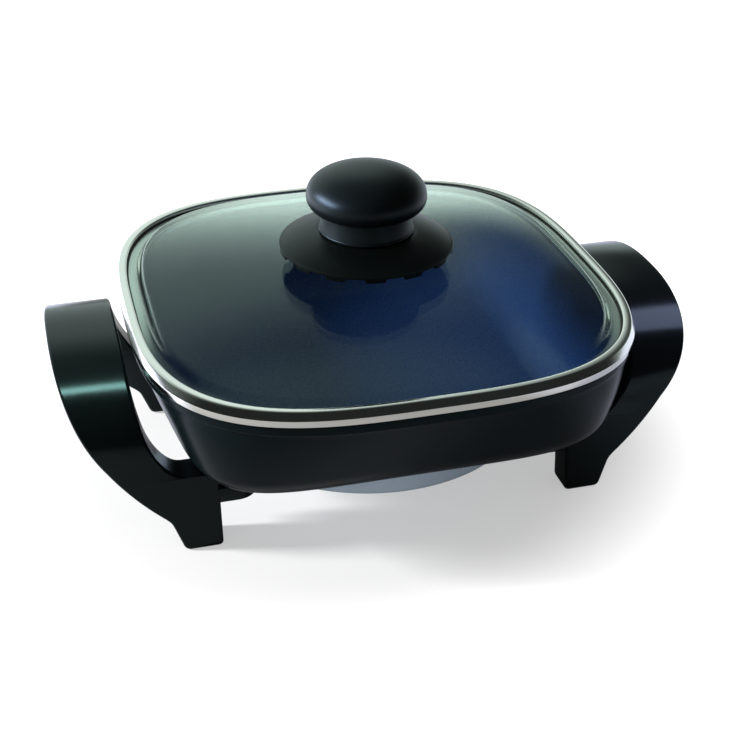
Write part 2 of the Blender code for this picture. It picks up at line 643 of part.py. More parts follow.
def make_terminal_guard(material):
    """Moulded box round the pins, open towards the heat control, with two screw ears."""
    end = GUARD_START + GUARD_LENGTH
    top = GUARD_BASE + GUARD_HEIGHT
    guard = block("terminal_guard", (GUARD_START, -GUARD_HALF_WIDTH, GUARD_BASE),
                  (end, GUARD_HALF_WIDTH, top), material)
    edge = guard.modifiers.new("Edges", "BEVEL")
    edge.width = GUARD_EDGE
    edge.segments = GUARD_STEPS
    for label, x, y in guard_screw_places():
        reach = math.copysign(GUARD_HALF_WIDTH - GUARD_WALL / 2, y)
        sides = sorted((reach, y + math.copysign(EAR_HALF, y)))
        ear = block("guard_ear_" + label, (x - EAR_HALF + GUARD_WALL, sides[0], EAR_BASE),
                    (x + EAR_HALF, sides[1], EAR_BASE + EAR_THICKNESS))
        combine(guard, ear, "UNION")
        hole = rod("guard_ear_hole_" + label, SCREW_RADIUS + GAP, EAR_BASE - OVERRUN,
                   EAR_BASE + EAR_THICKNESS + OVERRUN, centre=(x, y))
        combine(guard, hole, "DIFFERENCE")
    inside = GUARD_HALF_WIDTH - GUARD_WALL
    hollow = block("guard_hollow", (GUARD_START + GUARD_WALL, -inside, GUARD_BASE + GUARD_WALL),
                   (end + OVERRUN, inside, top - GUARD_WALL))
    combine(guard, hollow, "DIFFERENCE")
    holes = (("front", -TERMINAL_SPREAD, BUSH_RADIUS), ("middle", 0, PROBE_RADIUS),
             ("rear", TERMINAL_SPREAD, BUSH_RADIUS))
    for label, y, radius in holes:
        hole = turned("guard_hole_" + label, [(radius + GAP, 0), (radius + GAP, GUARD_WALL * 2)], None)
        lay_along_x(hole, GUARD_START - GUARD_WALL / 2, y, TERMINAL_HEIGHT)
        combine(guard, hole, "DIFFERENCE")
    return guard


def band(name, profile, material):
    """A ring that follows the lid's outline, from (half width, z) pairs round its section."""
    rings = [outline(half, RIM_POWER, z) for half, z in profile]
    return lofted(name, rings, material, closed=True)


def make_lid_rim(material):
    """Steel band with a rolled upper edge, a flange under the glass and a lip into the pan."""
    bead = (RIM_HALF - BEAD_RADIUS, BEAD_Z)
    outer = arc(bead, BEAD_RADIUS, 0, BEAD_END)
    inner = arc(bead, BEAD_RADIUS - STEEL, BEAD_END, 0)
    lip = MOUTH_HALF - SLIP
    floor = BAND_BASE + STEEL
    profile = [(RIM_HALF - STEEL, BAND_BASE), (RIM_HALF, floor)] + outer + inner
    profile += [(RIM_HALF - STEEL, floor), (lip - STEEL, floor), (lip - STEEL, PAN_TOP - LIP_DROP),
                (lip, PAN_TOP - LIP_DROP), (lip, BAND_BASE)]
    return band("lid_rim", profile, material)


def make_rim_seal(material):
    """Soft strip under the border of the glass and up round its edge."""
    inside = MOUTH_HALF - SLIP
    ledge = SEAL_BASE + SEAL
    top = BEAD_Z - GAP
    profile = [(inside, SEAL_BASE), (SEAL_OUTSIDE, SEAL_BASE), (SEAL_OUTSIDE, top),
               (SEAL_OUTSIDE - SEAL, top), (SEAL_OUTSIDE - SEAL, ledge), (inside, ledge)]
    return band("rim_seal", profile, material)


def make_lid_glass(material):
    """Tempered glass: flat border, raised shoulder and a shallow dome with a hole."""
    flange_end = GLASS_EDGE - FLANGE_WIDTH
    dome_edge = flange_end - SHOULDER_WIDTH
    low = GLASS_BASE + GLASS
    high = low + SHOULDER_RISE
    top = [(GLASS_EDGE, low), (flange_end, low)]
    for i in range(1, FINE_STEPS + 1):
        share = i / FINE_STEPS
        rise = SHOULDER_RISE * (1 - math.cos(math.pi * share)) / 2
        top.append((flange_end - SHOULDER_WIDTH * share, low + rise))
    dome_shares = (0.82, 0.6, 0.36)
    for share in dome_shares:
        top.append((dome_edge * share, high + DOME_RISE * (1 - share ** 2)))
    top.append((GLASS_HOLE, CROWN_Z))
    under = [(half, z - GLASS) for half, z in reversed(top)]
    rings = []
    for half, z in top + under:
        share = min(half / dome_edge, 1)
        rings.append(outline(half, 2 + (RIM_POWER - 2) * share, z))
    return lofted("lid_glass", rings, material, closed=True)


def make_skirt(material):
    """Round heat guard under the knob, with a castellated rim and a hub on the glass."""
    count = TAB_COUNT * 4
    rim_top = SKIRT_TOP - SKIRT_FALL
    under = SKIRT_TOP - SKIRT_THICKNESS
    floor_z = rim_top - SKIRT_EDGE
    hole = KNOB_SCREW_RADIUS + SCREW_CLEARANCE
    inner_tab = SKIRT_RADIUS - TAB_DEPTH
    flat = NECK_RADIUS + NECK_FLARE * 2
    half_way = (flat + SKIRT_RADIUS) / 2
    half_fall = SKIRT_CROWN - SKIRT_FALL / 2
    profile = [(hole, SKIRT_TOP), (flat, SKIRT_TOP), (half_way, SKIRT_TOP + half_fall),
               (SKIRT_RADIUS - SKIRT_EDGE / 2, rim_top), (SKIRT_RADIUS, rim_top - SKIRT_EDGE / 3),
               (SKIRT_RADIUS, floor_z), (inner_tab, floor_z), (half_way, under + half_fall),
               (SKIRT_HUB, under), (SKIRT_HUB, HUB_BASE), (hole, HUB_BASE)]
    skirt = turned("knob_skirt", profile, material, closed=True, count=count, turn=TAB_TURN)
    work = bmesh.new()
    work.from_mesh(skirt.data)
    turn = 2 * math.pi / count
    chosen = []
    for face in work.faces:
        middle = face.calc_center_median()
        place = int((math.atan2(middle.y, middle.x) - TAB_TURN) % (2 * math.pi) / turn)
        flat_face = abs(middle.z - floor_z) < SKIRT_EDGE / 4 and middle.xy.length > inner_tab
        if flat_face and place % 4 < 2:
            chosen.append(face)
    drawn = bmesh.ops.extrude_face_region(work, geom=chosen)
    moved = [item for item in drawn["geom"] if isinstance(item, bmesh.types.BMVert)]
    bmesh.ops.translate(work, verts=moved, vec=(0, 0, -TAB_DROP))
    bmesh.ops.delete(work, geom=chosen, context="FACES_ONLY")
    bmesh.ops.recalc_face_normals(work, faces=work.faces)
    work.to_mesh(skirt.data)
    work.free()
    skirt.data.set_sharp_from_angle(angle=SHARP_ANGLE)
    return skirt


def make_knob(material):
    """Mushroom knob, hollow from below round a post for the threaded insert."""
    steps = [math.pi / 2 * i / KNOB_STEPS for i in range(1, KNOB_STEPS + 1)]
    dome = [(0, KNOB_WIDEST + KNOB_BULGE)]
    dome += [(KNOB_RADIUS * math.sin(a), KNOB_WIDEST + KNOB_BULGE * math.cos(a)) for a in steps]
    below = []
    for i in range(1, ARC_STEPS + 1):
        a = math.pi / 2 * i / ARC_STEPS
        below.append((NECK_RADIUS + (KNOB_RADIUS - NECK_RADIUS) * math.cos(a),
                      KNOB_WIDEST - KNOB_UNDERCUT * math.sin(a)))
    foot = NECK_RADIUS + NECK_FLARE
    outside = [(NECK_RADIUS, NECK_BASE + NECK_HEIGHT / 2),
               (NECK_RADIUS + NECK_FLARE / 3, NECK_BASE + NECK_HEIGHT / 4),
               (foot, NECK_BASE + NECK_FLARE), (foot - NECK_FLARE / 2, NECK_BASE)]
    wall = foot - KNOB_SHELL
    roof = NECK_BASE + NECK_HEIGHT
    hole = INSERT_RADIUS + GAP
    top = NECK_BASE + GAP + INSERT_LENGTH + GAP
    hollow = [(wall, NECK_BASE), (wall - NECK_FLARE, roof), (KNOB_POST, roof),
              (KNOB_POST, NECK_BASE + GAP), (hole, NECK_BASE + GAP), (hole, top), (0, top)]
    return turned("lid_knob", dome + below + outside + hollow, material, count=ROUND_POINTS)


def make_knob_fixings(brass, steel, rubber):
    """Insert, screw and washers that clamp the knob through the glass."""
    bore = KNOB_SCREW_RADIUS + GAP
    make_washer("knob_insert", INSERT_RADIUS, bore, NECK_BASE + GAP, INSERT_LENGTH, brass)
    make_washer("knob_seal_upper", LID_WASHER_RADIUS, GLASS_HOLE, CROWN_Z + GAP, SOFT_WASHER, rubber)
    soft = CROWN_Z - GLASS - GAP - SOFT_WASHER
    make_washer("knob_seal_lower", LID_WASHER_RADIUS, GLASS_HOLE, soft, SOFT_WASHER, rubber)
    hard = soft - GAP - LID_WASHER
    make_washer("knob_washer", LID_WASHER_RADIUS, bore, hard, LID_WASHER, steel)
    seat = hard - GAP
    profile = [(HEAD_RADIUS - KNOB_SCREW_RADIUS / 2, seat - HEAD_HEIGHT),
               (HEAD_RADIUS, seat - HEAD_HEIGHT / 2), (HEAD_RADIUS, seat),
               (KNOB_SCREW_RADIUS, seat), (KNOB_SCREW_RADIUS, NECK_BASE + KNOB_SCREW_BITE)]
    turned("knob_screw", profile, steel)


def make_lid(glass, steel, brass, bakelite, rubber):
    """Everything that lifts off with the lid, under one empty on the way that it lifts."""
    before = set(bpy.data.objects)
    make_lid_rim(steel)
    make_rim_seal(rubber)
    make_lid_glass(glass)
    make_skirt(bakelite)
    make_knob(bakelite)
    make_knob_fixings(brass, steel, rubber)
    lift = bpy.data.objects.new("lid_lift", None)
    bpy.context.scene.collection.objects.link(lift)
    for item in set(bpy.data.objects) - before - {lift}:
        item.parent = lift


def main():
    """Clear the scene and model the skillet."""
    for item in list(bpy.data.objects):
        bpy.data.objects.remove(item)
    enamel = finish("Pan coating", (0.012, 0.016, 0.028), 0.38)
    bakelite = finish("Black phenolic", (0.014, 0.016, 0.017), 0.45)
    steel = finish("Polished steel", (0.78, 0.78, 0.76), 0.18, 1.0)
    aluminium = finish("Cast aluminium", (0.62, 0.65, 0.7), 0.5, 1.0)
    sheath = finish("Heater sheath", (0.3, 0.3, 0.29), 0.5, 1.0)
    brass = finish("Brass", (0.72, 0.55, 0.26), 0.3, 1.0)
    ceramic = finish("Ceramic", (0.82, 0.8, 0.75), 0.5)
    mica = finish("Mica", (0.55, 0.48, 0.36), 0.55)
    rubber = finish("Silicone", (0.02, 0.022, 0.022), 0.6)
    glass = finish("Tempered glass", (0.75, 0.86, 0.8), 0.04)

    make_pan(enamel)
    make_handle("left_handle", -1, bakelite)
    make_handle("right_handle", 1, bakelite)
    make_handle_fixings(handle_screw_places(), steel, mica)
    make_heater_plate(aluminium)
    make_heating_element(sheath)
    make_heat_cover(aluminium)
    for number, (x, y) in enumerate(cover_screw_places()):
        make_screw("cover_screw_%d" % (number + 1), x, y, COVER_BASE - GAP,
                   COVER_BOSS_BASE - COVER_BASE + GAP, steel)
    make_terminals(steel, ceramic)
    make_terminal_guard(bakelite)
    for label, x, y in guard_screw_places():
        make_screw("guard_screw_" + label, x, y, EAR_BASE - GAP,
                   GUARD_BOSS_BASE - EAR_BASE + GAP, steel)
    make_lid(glass, steel, brass, bakelite, rubber)


if __name__ == "__main__":
    main()
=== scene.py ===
"""Looks of the small electric skillet: its fine surfaces, finishes, stage and camera.

Metres, +Z up, in the frame of the packed model. The shapes follow the solids of the model, with
rounder edges. Most pieces are grids of points worked out from a few sizes. The pins, the guard and
the sleeve of the socket, the heating tube and its plate keep the meshes of their solids.
"""
import json
import math

import bmesh
import bpy
import numpy as np
from bpy.props import FloatProperty, FloatVectorProperty, IntProperty
from mathutils import Matrix, Vector

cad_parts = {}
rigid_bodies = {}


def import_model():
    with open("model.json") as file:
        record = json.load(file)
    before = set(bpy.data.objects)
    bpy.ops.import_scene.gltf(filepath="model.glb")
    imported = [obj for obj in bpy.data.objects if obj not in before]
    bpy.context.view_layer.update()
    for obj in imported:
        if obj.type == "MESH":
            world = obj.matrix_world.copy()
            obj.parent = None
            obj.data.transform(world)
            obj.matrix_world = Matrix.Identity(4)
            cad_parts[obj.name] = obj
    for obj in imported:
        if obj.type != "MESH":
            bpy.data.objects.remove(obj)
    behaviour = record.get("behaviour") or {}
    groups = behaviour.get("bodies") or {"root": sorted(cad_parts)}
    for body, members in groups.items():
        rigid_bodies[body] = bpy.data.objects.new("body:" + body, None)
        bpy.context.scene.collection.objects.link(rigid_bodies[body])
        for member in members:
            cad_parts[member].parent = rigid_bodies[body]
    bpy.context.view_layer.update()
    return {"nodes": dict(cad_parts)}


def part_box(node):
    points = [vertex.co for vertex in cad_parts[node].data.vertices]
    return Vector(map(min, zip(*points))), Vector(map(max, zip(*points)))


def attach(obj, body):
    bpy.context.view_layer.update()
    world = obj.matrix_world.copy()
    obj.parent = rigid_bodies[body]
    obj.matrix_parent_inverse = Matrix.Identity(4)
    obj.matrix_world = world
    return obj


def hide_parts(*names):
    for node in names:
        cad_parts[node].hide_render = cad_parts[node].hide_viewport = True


bl_info = {
    "name": "Electric Skillet",
    "version": (1, 0, 0),
    "blender": (4, 5, 0),
    "location": "View3D > Sidebar > Skillet",
    "description": "Dresses the packed model of a small electric skillet",
    "category": "Object",
}

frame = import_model()
NODES = frame["nodes"]
GAP = 0.0003                # between two pieces that touch
PAST = 0.001                # how far a cutter reaches past what it cuts
STEP = 0.003                # longest step along a profile
ROUND = 240                 # points round the square pan and lid
TURNED = 192                # points round the large turned pieces
SMALL = 48                  # points round washers and holes
THREADED = 32               # points round screws
CROWN_STEPS = 96            # steps along the crown of a handle's arch
TAB_POINTS = 24             # points round the skirt from one of its tabs to the next
SHARP = math.radians(40)    # edges that bend more than this stay sharp
FRAME_PIXELS = 736          # width of the photograph
SENSOR = 36                 # width of the camera's sensor in millimetres

# (height, inset) of the rounded edge under a foot.
FOOT_EDGE = np.array([(0, 0.0012), (0.0003, 0.0006), (0.0009, 0.0002), (0.0018, 0)])

# Where the world's white back wall begins and is full, as shares of a direction's length.
WALL_BACK = (-0.2, 0.55)
WALL_HIGH = (0.5, 0.8)
WALL_RIGHT = (0.16, 0.47)
WALL_RIGHT_HIGH = (0.16, 0.32)
WALL_LEFT = (0.5, 0.8)

# Each lamp's name, place, the point it shines at, its two sides, its colour, and the word in the
# names of the pieces that it lights. The power is the size of the stage with the same name.
LAMPS = (
    ("key", (-1.08, 0.19, 0.50), (0, 0, 0.08), (0.13, 0.30), (1, 1, 1), ""),
    ("knob panel", (-1.08, 0.19, 0.50), (0, 0, 0.13), (0.9, 0.32), (0.78, 0.86, 1.2), "knob"),
    ("rim panel", (0.55, 0.90, 0.26), (0.1, 0, 0.09), (0.5, 0.3), (0.86, 1.0, 0.94), "rim"),
    ("left strip", (-0.110, -0.013, 0.369), (-0.122, -0.033, 0.069), (0.30, 0.035),
     (0.62, 1.0, 0.93), "left_handle"),
    ("right strip", (0.276, -0.033, 0.329), (0.126, -0.033, 0.069), (0.30, 0.16),
     (0.92, 0.92, 1.4), "right_handle"),
)


def spot(node, corner, axis):
    """A coordinate of a node's box: corner 0 is the lowest and 1 the highest."""
    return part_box(node)[corner][axis]


def middle_of(node):
    """X and Y of the middle of a node's box."""
    low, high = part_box(node)
    return (low.x + high.x) / 2, (low.y + high.y) / 2


PAN_BASE = spot("heater_plate", 1, 2) + GAP
PAN_TOP = spot("pan", 1, 2)
LIP_HALF = spot("pan", 1, 0)
RIM_HALF = spot("lid_rim", 1, 0)
GLASS_BASE = spot("lid_glass", 0, 2)
CROWN_Z = spot("lid_glass", 1, 2)
SKIRT_TOP = spot("knob_skirt", 1, 2)
KNOB_TOP = spot("lid_knob", 1, 2)
COVER_BASE = spot("heat_cover", 0, 2)
HANDLE_TOP = spot("left_handle", 1, 2)
HANDLE_REACH = spot("right_handle", 1, 0)


def length(name, default, description):
    """A size that can be changed in the sidebar."""
    return FloatProperty(name=name, default=default, description=description, unit="LENGTH",
                         precision=5)


def number(name, default, description):
    """A plain number that can be changed in the sidebar."""
    return FloatProperty(name=name, default=default, description=description, precision=3)


def angle(name, degrees, description):
    """An angle that can be changed in the sidebar."""
    return FloatProperty(name=name, default=math.radians(degrees), description=description,
                         subtype="ANGLE")


def colour(name, default, description):
    """A colour that can be changed in the sidebar."""
    return FloatVectorProperty(name=name, default=default, description=description,
                               subtype="COLOR", size=3, min=0, max=1)


class PanSizes(bpy.types.PropertyGroup):
    """Sizes of the cast pan."""
    mouth_power: number("Squareness of the mouth", 3.16, "2 is round, larger is squarer")
    base_power: number("Squareness of the bottom", 6.0, "2 is round, larger is squarer")
    wall: length("Wall", 0.0026, "Thickness of the pan's wall")
    lip_height: length("Lip height", 0.0047, "Height of the band round the mouth")
    lip_step: length("Lip step", 0.0015, "How far the wall lies inside the lip")
    lip_edge: length("Lip edge", 0.0009, "Radius of the lip's edges")
    taper: angle("Taper", 22, "Lean of the wall")
    fillet: length("Bottom fillet", 0.024, "Radius between the wall and the bottom")


class HandleSizes(bpy.types.PropertyGroup):
    """Sizes of the two arched handles."""
    shift: length("Shift", 0.0037, "How far the handles sit behind the middle of the pan")
    foot_half: length("Foot half", 0.0637, "From the middle of the arch to the outside of a foot")
    lean: length("Lean", 0.0053, "How much closer the leg comes by the foot of the crown")
    crown_power: number("Squareness of the crown", 2.39, "2 is round, larger is squarer")
    spring: length("Spring", 0.0404, "Height where the crown of the arch begins")
    leg: length("Leg", 0.0143, "Thickness of a leg")
    crown: length("Crown", 0.011, "Thickness of the arch at its top")
    foot_inner: length("Foot inside", 0.0785, "From the middle to the inside of a foot")
    foot_width: length("Foot width", 0.0163, "Width of a foot")
    foot_splay: length("Foot splay", 0.0052, "How much wider the foot is where the hook starts")
    hook_start: length("Hook start", 0.014, "Height where the outer edge turns outwards")
    hook_bow: length("Hook bow", 0.0062, "How far the outer edge bows out between its ends")
    hook_blend: length("Hook blend", 0.0018, "How softly the foot runs into the hook")
    ledge: length("Ledge height", 0.0343, "Height of the leg's inner ledge")
    ledge_width: length("Ledge width", 0.0125, "Width of the leg's inner ledge")
    grip_gap: length("Grip gap", 0.004, "From the pan's lip to the inside of the grip")
    edge: length("Edge", 0.0016, "Radius along the edges of the handle")
    pocket: length("Hollow", 0.0135, "Width of each of the three hollows inside the grip")
    pocket_half: length("Hollow half", 0.008, "Half of their length along X")
    pocket_roof: length("Hollow roof", 0.0045, "Thickness over the middle hollow")
    pocket_fall: length("Hollow fall", 0.00225, "How much lower the outer two end")
    rib: length("Rib", 0.0025, "Wall between two hollows")
    tab: length("Tab", 0.01, "Radius of the tabs under the pan")
    tab_tail: length("Tab tail", 0.0155, "From a tab's screw to its end in the foot")
    tab_height: length("Tab height", 0.008, "Thickness of a tab")
    tab_edge: length("Tab edge", 0.0012, "Radius along the edges of a tab")
    tab_hole: length("Tab hole", 0.0022, "Radius of the hole for its screw")
    tab_sink: length("Tab sink", 0.0048, "Radius of the recess for the screw's head")
    sink_depth: length("Sink depth", 0.0035, "Depth of that recess")


class LidSizes(bpy.types.PropertyGroup):
    """Sizes of the lid's steel rim and its glass."""
    band: length("Band", 0.0061, "Height of the steel rim")
    steel: length("Steel", 0.0007, "Thickness of the steel rim")
    wall: length("Rim wall", 0.0020, "Height of the rim's upright wall")
    bend: length("Rim bend", 0.0008, "Radius between the wall and the slant above it")
    slant: angle("Rim slant", 25, "Lean of the slant")
    shoulder: length("Rim shoulder", 0.0010, "Radius between the slant and the crowned top")
    crown: length("Rim crown", 0.0070, "Radius of the crowned top")
    crown_start: angle("Crown start", 84, "Where that radius starts, from the level outwards")
    crown_end: angle("Crown end", 104, "Where it ends")
    roll: length("Rim roll", 0.00045, "Radius of the inner edge of the top")
    tongue: length("Tongue", 0.00075, "How far the seal shows inside the steel")
    glass: length("Glass", 0.0026, "Thickness of the glass")
    border: length("Glass border", 0.0018, "Thickness of the flat border of the glass")
    flange: length("Flange", 0.0065, "Width of the flat border of the glass")
    rise_width: length("Rise width", 0.0042, "Width of the slope between the border and the dome")
    rise: length("Rise", 0.0036, "Height of that slope")
    hole: length("Hole", 0.0042, "Radius of the hole for the knob's screw")
    corner: length("Rim corner", 0.0004, "Radius of the rim's lower edge, and its play in the pan")
    lip: length("Rim lip", 0.002, "How far the rim's lip reaches down into the pan")
    inset: length("Rim inset", 0.0006, "From the rim's steel to the dark wall inside its top")
    seal: length("Seal", 0.0004, "Thickness of the seal")
    seal_gap: length("Seal gap", 0.0005, "From the glass up to the steel over it")


class KnobSizes(bpy.types.PropertyGroup):
    """Sizes of the knob and the skirt under it."""
    radius: length("Radius", 0.0262, "Radius of the knob's cap")
    dome_power: number("Squareness of the cap", 2.3, "2 is an ellipse, larger is squarer")
    bulge: length("Bulge", 0.0128, "From the widest ring of the cap to its top")
    undercut: length("Undercut", 0.0060, "From the widest ring down to the neck")
    neck: length("Neck", 0.0197, "Radius of the neck")
    flare: length("Flare", 0.0011, "How much wider the neck is at its foot")
    skirt: length("Skirt", 0.0382, "Radius of the skirt")
    fall: length("Fall", 0.0053, "How much lower the skirt is at its rim")
    crown: length("Crown", 0.0006, "How far the skirt bulges over a straight cone")
    sheet: length("Sheet", 0.0016, "Thickness of the skirt")
    edge: length("Edge", 0.0006, "Thickness of the skirt at its rim")
    tabs: IntProperty(name="Tabs", default=14, description="Number of tabs under the rim")
    tab_drop: length("Tab drop", 0.0016, "How far a tab hangs under the rim")
    tab_turn: angle("Tab turn", -2.3, "Where the first tab begins")
    tab_depth: length("Tab depth", 0.002, "Thickness of a tab towards the middle")
    hub: length("Hub", 0.0105, "Radius of the boss under the skirt")
    hole: length("Hole", 0.0024, "Radius of the hole in the skirt")
    bead: length("Bead", 0.0009, "Radius of the bead round the foot of the neck")
    wall: length("Wall", 0.0042, "Thickness of the knob at its foot")
    post: length("Post", 0.0078, "Radius of the post inside the knob")
    bore: length("Bore", 0.0048, "Radius of the bore for the insert")
    bore_depth: length("Bore depth", 0.0126, "Depth of that bore")


class FixingSizes(bpy.types.PropertyGroup):
    """Sizes of the screws."""
    shank: length("Shank", 0.0017, "Radius of a screw's shank")
    knob_shank: length("Knob shank", 0.0019, "Radius of the shank of the knob's screw")
    head: length("Head", 0.002, "Height of a screw's head")
    pitch: length("Pitch", 0.0007, "From one turn of the thread to the next")
    thread: length("Thread", 0.00022, "Depth of the thread")
    recess: length("Recess", 0.0009, "Depth of the cross in the head")
    cross: number("Cross length", 0.52, "Half of the cross as a share of the head's radius")
    cross_arm: number("Cross arm", 0.12, "Half of an arm's width as a share of that radius")


class HeaterSizes(bpy.types.PropertyGroup):
    """Sizes of the dish over the heater."""
    sheet: length("Sheet", 0.0008, "Thickness of the dish")
    fillet: length("Fillet", 0.0026, "Radius between its floor and its wall")
    notch: length("Notch", 0.0215, "Half of the width of the notch for the socket")
    hole: length("Hole", 0.002, "Radius of the holes for its screws")


class Finishes(bpy.types.PropertyGroup):
    """Colours of the skillet."""
    phenolic: colour("Phenolic", (0.0026, 0.0036, 0.0036), "Handles, knob and socket")
    coating: colour("Outer coating", (0.0024, 0.0052, 0.0064), "Outside of the pan")
    lining: colour("Non-stick lining", (0.013, 0.032, 0.115), "Inside of the pan")
    specks: colour("Specks", (0.20, 0.23, 0.30), "Specks in the lining")
    sheen: colour("Sheen", (0.74, 0.97, 0.97), "Tint of the highlights on the dark parts")
    gleam: colour("Gleam", (0.60, 0.83, 0.96), "Tint of the highlights on the pan")
    rim: colour("Polished steel", (0.75, 0.74, 0.70), "Rim of the lid")
    aluminium: colour("Cast aluminium", (0.56, 0.68, 0.84), "Dish under the heater, and its plate")
    silicone: colour("Silicone", (0.02, 0.022, 0.022), "Seals of the lid and the knob")
    mica: colour("Mica", (0.50, 0.42, 0.30), "Discs between the tabs and the pan")
    brass: colour("Brass", (0.68, 0.50, 0.22), "Insert of the knob")
    ceramic: colour("Ceramic", (0.78, 0.75, 0.68), "Insulators of the pins")
    sheath: colour("Heater sheath", (0.30, 0.29, 0.28), "Heating tube")
    glass: colour("Glass", (0.93, 0.985, 0.955), "Tint of the lid")
    # Strength of the painted glare on the glass border at a slant, standing in for light seen
    # through it.
    painted_glare: number("Painted glare", 0.7, "How milky the border of the glass is at a slant")


class StageSizes(bpy.types.PropertyGroup):
    """Camera and lamps."""
    focal: number("Focal length in pixels", 1356.75, "Focal length for an image 736 pixels wide")
    yaw: angle("Yaw", 15.553, "How far the camera looks to the right of +Y")
    pitch: angle("Pitch", 30.493, "How far the camera looks down")
    roll: angle("Roll", 0.527, "How far the camera is turned about its own axis")
    distance: length("Distance", 0.629125, "From the camera to the point that it looks at")
    target_x: length("Target X", 0.001383, "X of that point")
    target_z: length("Target Z", 0.042236, "Z of that point")
    ambient: number("Ambient", 0.36, "Brightness of the room for matt surfaces")
    backdrop: number("Backdrop", 1.05, "Brightness of the back wall in mirrors")
    gloom: number("Gloom", 0.02, "Brightness of the front of the room in mirrors")
    room_tint: colour("Room tint", (0.84, 1.0, 0.96), "Colour of the back wall in mirrors")
    floor_albedo: number("Floor", 0.55, "How much light the floor gives back")
    floor_lift: number("Floor lift", 0.45, "What the camera sees on top of that")
    floor_half: length("Floor half", 6.0, "Half of the floor's side")
    # Reach of the floor's shade; past it, painted light lifts the floor to white.
    shade_x: length("Shade X", 0.17, "How far the floor's shade reaches along X")
    shade_y: length("Shade Y", 0.135, "How far it reaches along Y")
    shade_shift: number("Shade shift", 0.12, "How far it lies to the left, as a share of its reach")
    key: number("Key", 21, "Power of the lamp at the left")
    left_strip: number("Left strip", 1.15, "Power of the strip over the left handle")
    right_strip: number("Right strip", 0.8, "Power of the strip over the right handle")
    knob_panel: number("Knob panel", 30, "Power of the panel that the knob mirrors")
    rim_panel: number("Rim panel", 0.28, "Power of the panel that the rim's right side mirrors")


GROUPS = {"skillet_pan": PanSizes, "skillet_handles": HandleSizes, "skillet_lid": LidSizes,
          "skillet_knob": KnobSizes, "skillet_fixings": FixingSizes, "skillet_heater": HeaterSizes,
          "skillet_finishes": Finishes, "skillet_stage": StageSizes}


class Socket:
    """One output of a node, with the sums of Python."""

    def __init__(self, maker, output):
        self.maker = maker
        self.output = output

    def math(self, operation, *values):
        return self.maker.node("ShaderNodeMath", {"operation": operation}, values)

    def __add__(self, other):
        return self.math("ADD", self, other)

    def __sub__(self, other):
        return self.math("SUBTRACT", self, other)

    def __mul__(self, other):
        return self.math("MULTIPLY", self, other)

    def __rsub__(self, other):
        return self.math("SUBTRACT", other, self)

    def __pow__(self, other):
        return self.math("POWER", self, other)

    def __neg__(self):
        return self.math("SUBTRACT", 0, self)

    def __abs__(self):
        return self.math("ABSOLUTE", self)

    def root(self):
        return self.math("SQRT", self)

    def clamp(self):
        return self.maker.node("ShaderNodeClamp", {}, (self,))

    __radd__ = __add__
    __rmul__ = __mul__


class Maker:
    """Builds the nodes of one material or world."""

    def __init__(self, tree):
        self.tree = tree
        tree.nodes.clear()

    def node(self, kind, settings=None, values=(), output=0):
        """A node with its settings, then the values or links of its sockets."""
        made = self.tree.nodes.new(kind)
        for name, value in (settings or {}).items():
            setattr(made, name, value)
        pairs = values.items() if isinstance(values, dict) else enumerate(values)
        for key, value in pairs:
            self.plug(made.inputs[key], value)
        return Socket(self, made.outputs[output])

    def plug(self, target, value):
        """Link a socket or set its value."""
        if isinstance(value, Socket):
            self.tree.links.new(value.output, target)
        elif target.type == "RGBA" and len(value) == 3:
            target.default_value = (*value, 1)
        else:
            target.default_value = value

    def blend(self, factor, first, second):
        """A mix of two colours."""
        made = self.tree.nodes.new("ShaderNodeMix")
        made.data_type = "RGBA"
        for index, value in ((0, factor), (6, first), (7, second)):
            self.plug(made.inputs[index], value)
        return Socket(self, made.outputs[2])

    def place(self, scale=(1, 1, 1)):
        """Object coordinates, stretched along each axis."""
        where = self.node("ShaderNodeTexCoord", {}, (), "Object")
        return self.node("ShaderNodeMapping", {}, {"Vector": where, "Scale": scale})

    def noise(self, scale, stretch=(1, 1, 1), detail=3.0, roughness=0.55):
        """Noise from 0 to 1 with a number of grains to the metre."""
        values = {"Vector": self.place(stretch), "Scale": scale, "Detail": detail,
                  "Roughness": roughness}
        return self.node("ShaderNodeTexNoise", {}, values)

    def bump(self, height, distance):
        """A normal from a height of the given depth in metres."""
        return self.node("ShaderNodeBump", {}, {"Height": height, "Distance": distance})

    def outputs(self, kind, values=()):
        """Every output of a new node by its name."""
        first = self.node(kind, {}, values)
        return {out.name: Socket(self, out) for out in first.output.node.outputs}

    def axes(self, vector):
        """The X, Y and Z of a vector, by name."""
        return self.outputs("ShaderNodeSeparateXYZ", {"Vector": vector})

    def ease(self, value, low, high):
        """A smooth step from 0 to 1 between two values."""
        sockets = {"Value": value, 1: low, 2: high}
        return self.node("ShaderNodeMapRange", {"interpolation_type": "SMOOTHSTEP"}, sockets)

    def surface(self, **values):
        """A Principled shader, named sockets given with underscores."""
        named = {name.replace("_", " "): value for name, value in values.items()}
        return self.node("ShaderNodeBsdfPrincipled", {}, named)

    def finish(self, shader, kind="Material"):
        """Send a shader to the output."""
        out = self.tree.nodes.new("ShaderNodeOutput" + kind)
        self.tree.links.new(shader.output, out.inputs["Surface"])


def material(name):
    """A new material and its maker."""
    made = bpy.data.materials.new(name)
    made.use_nodes = True
    return made, Maker(made.node_tree)


def tinted(shade, factor):
    """A colour made lighter or darker, at most white."""
    return tuple(min(c * factor, 1) for c in shade)


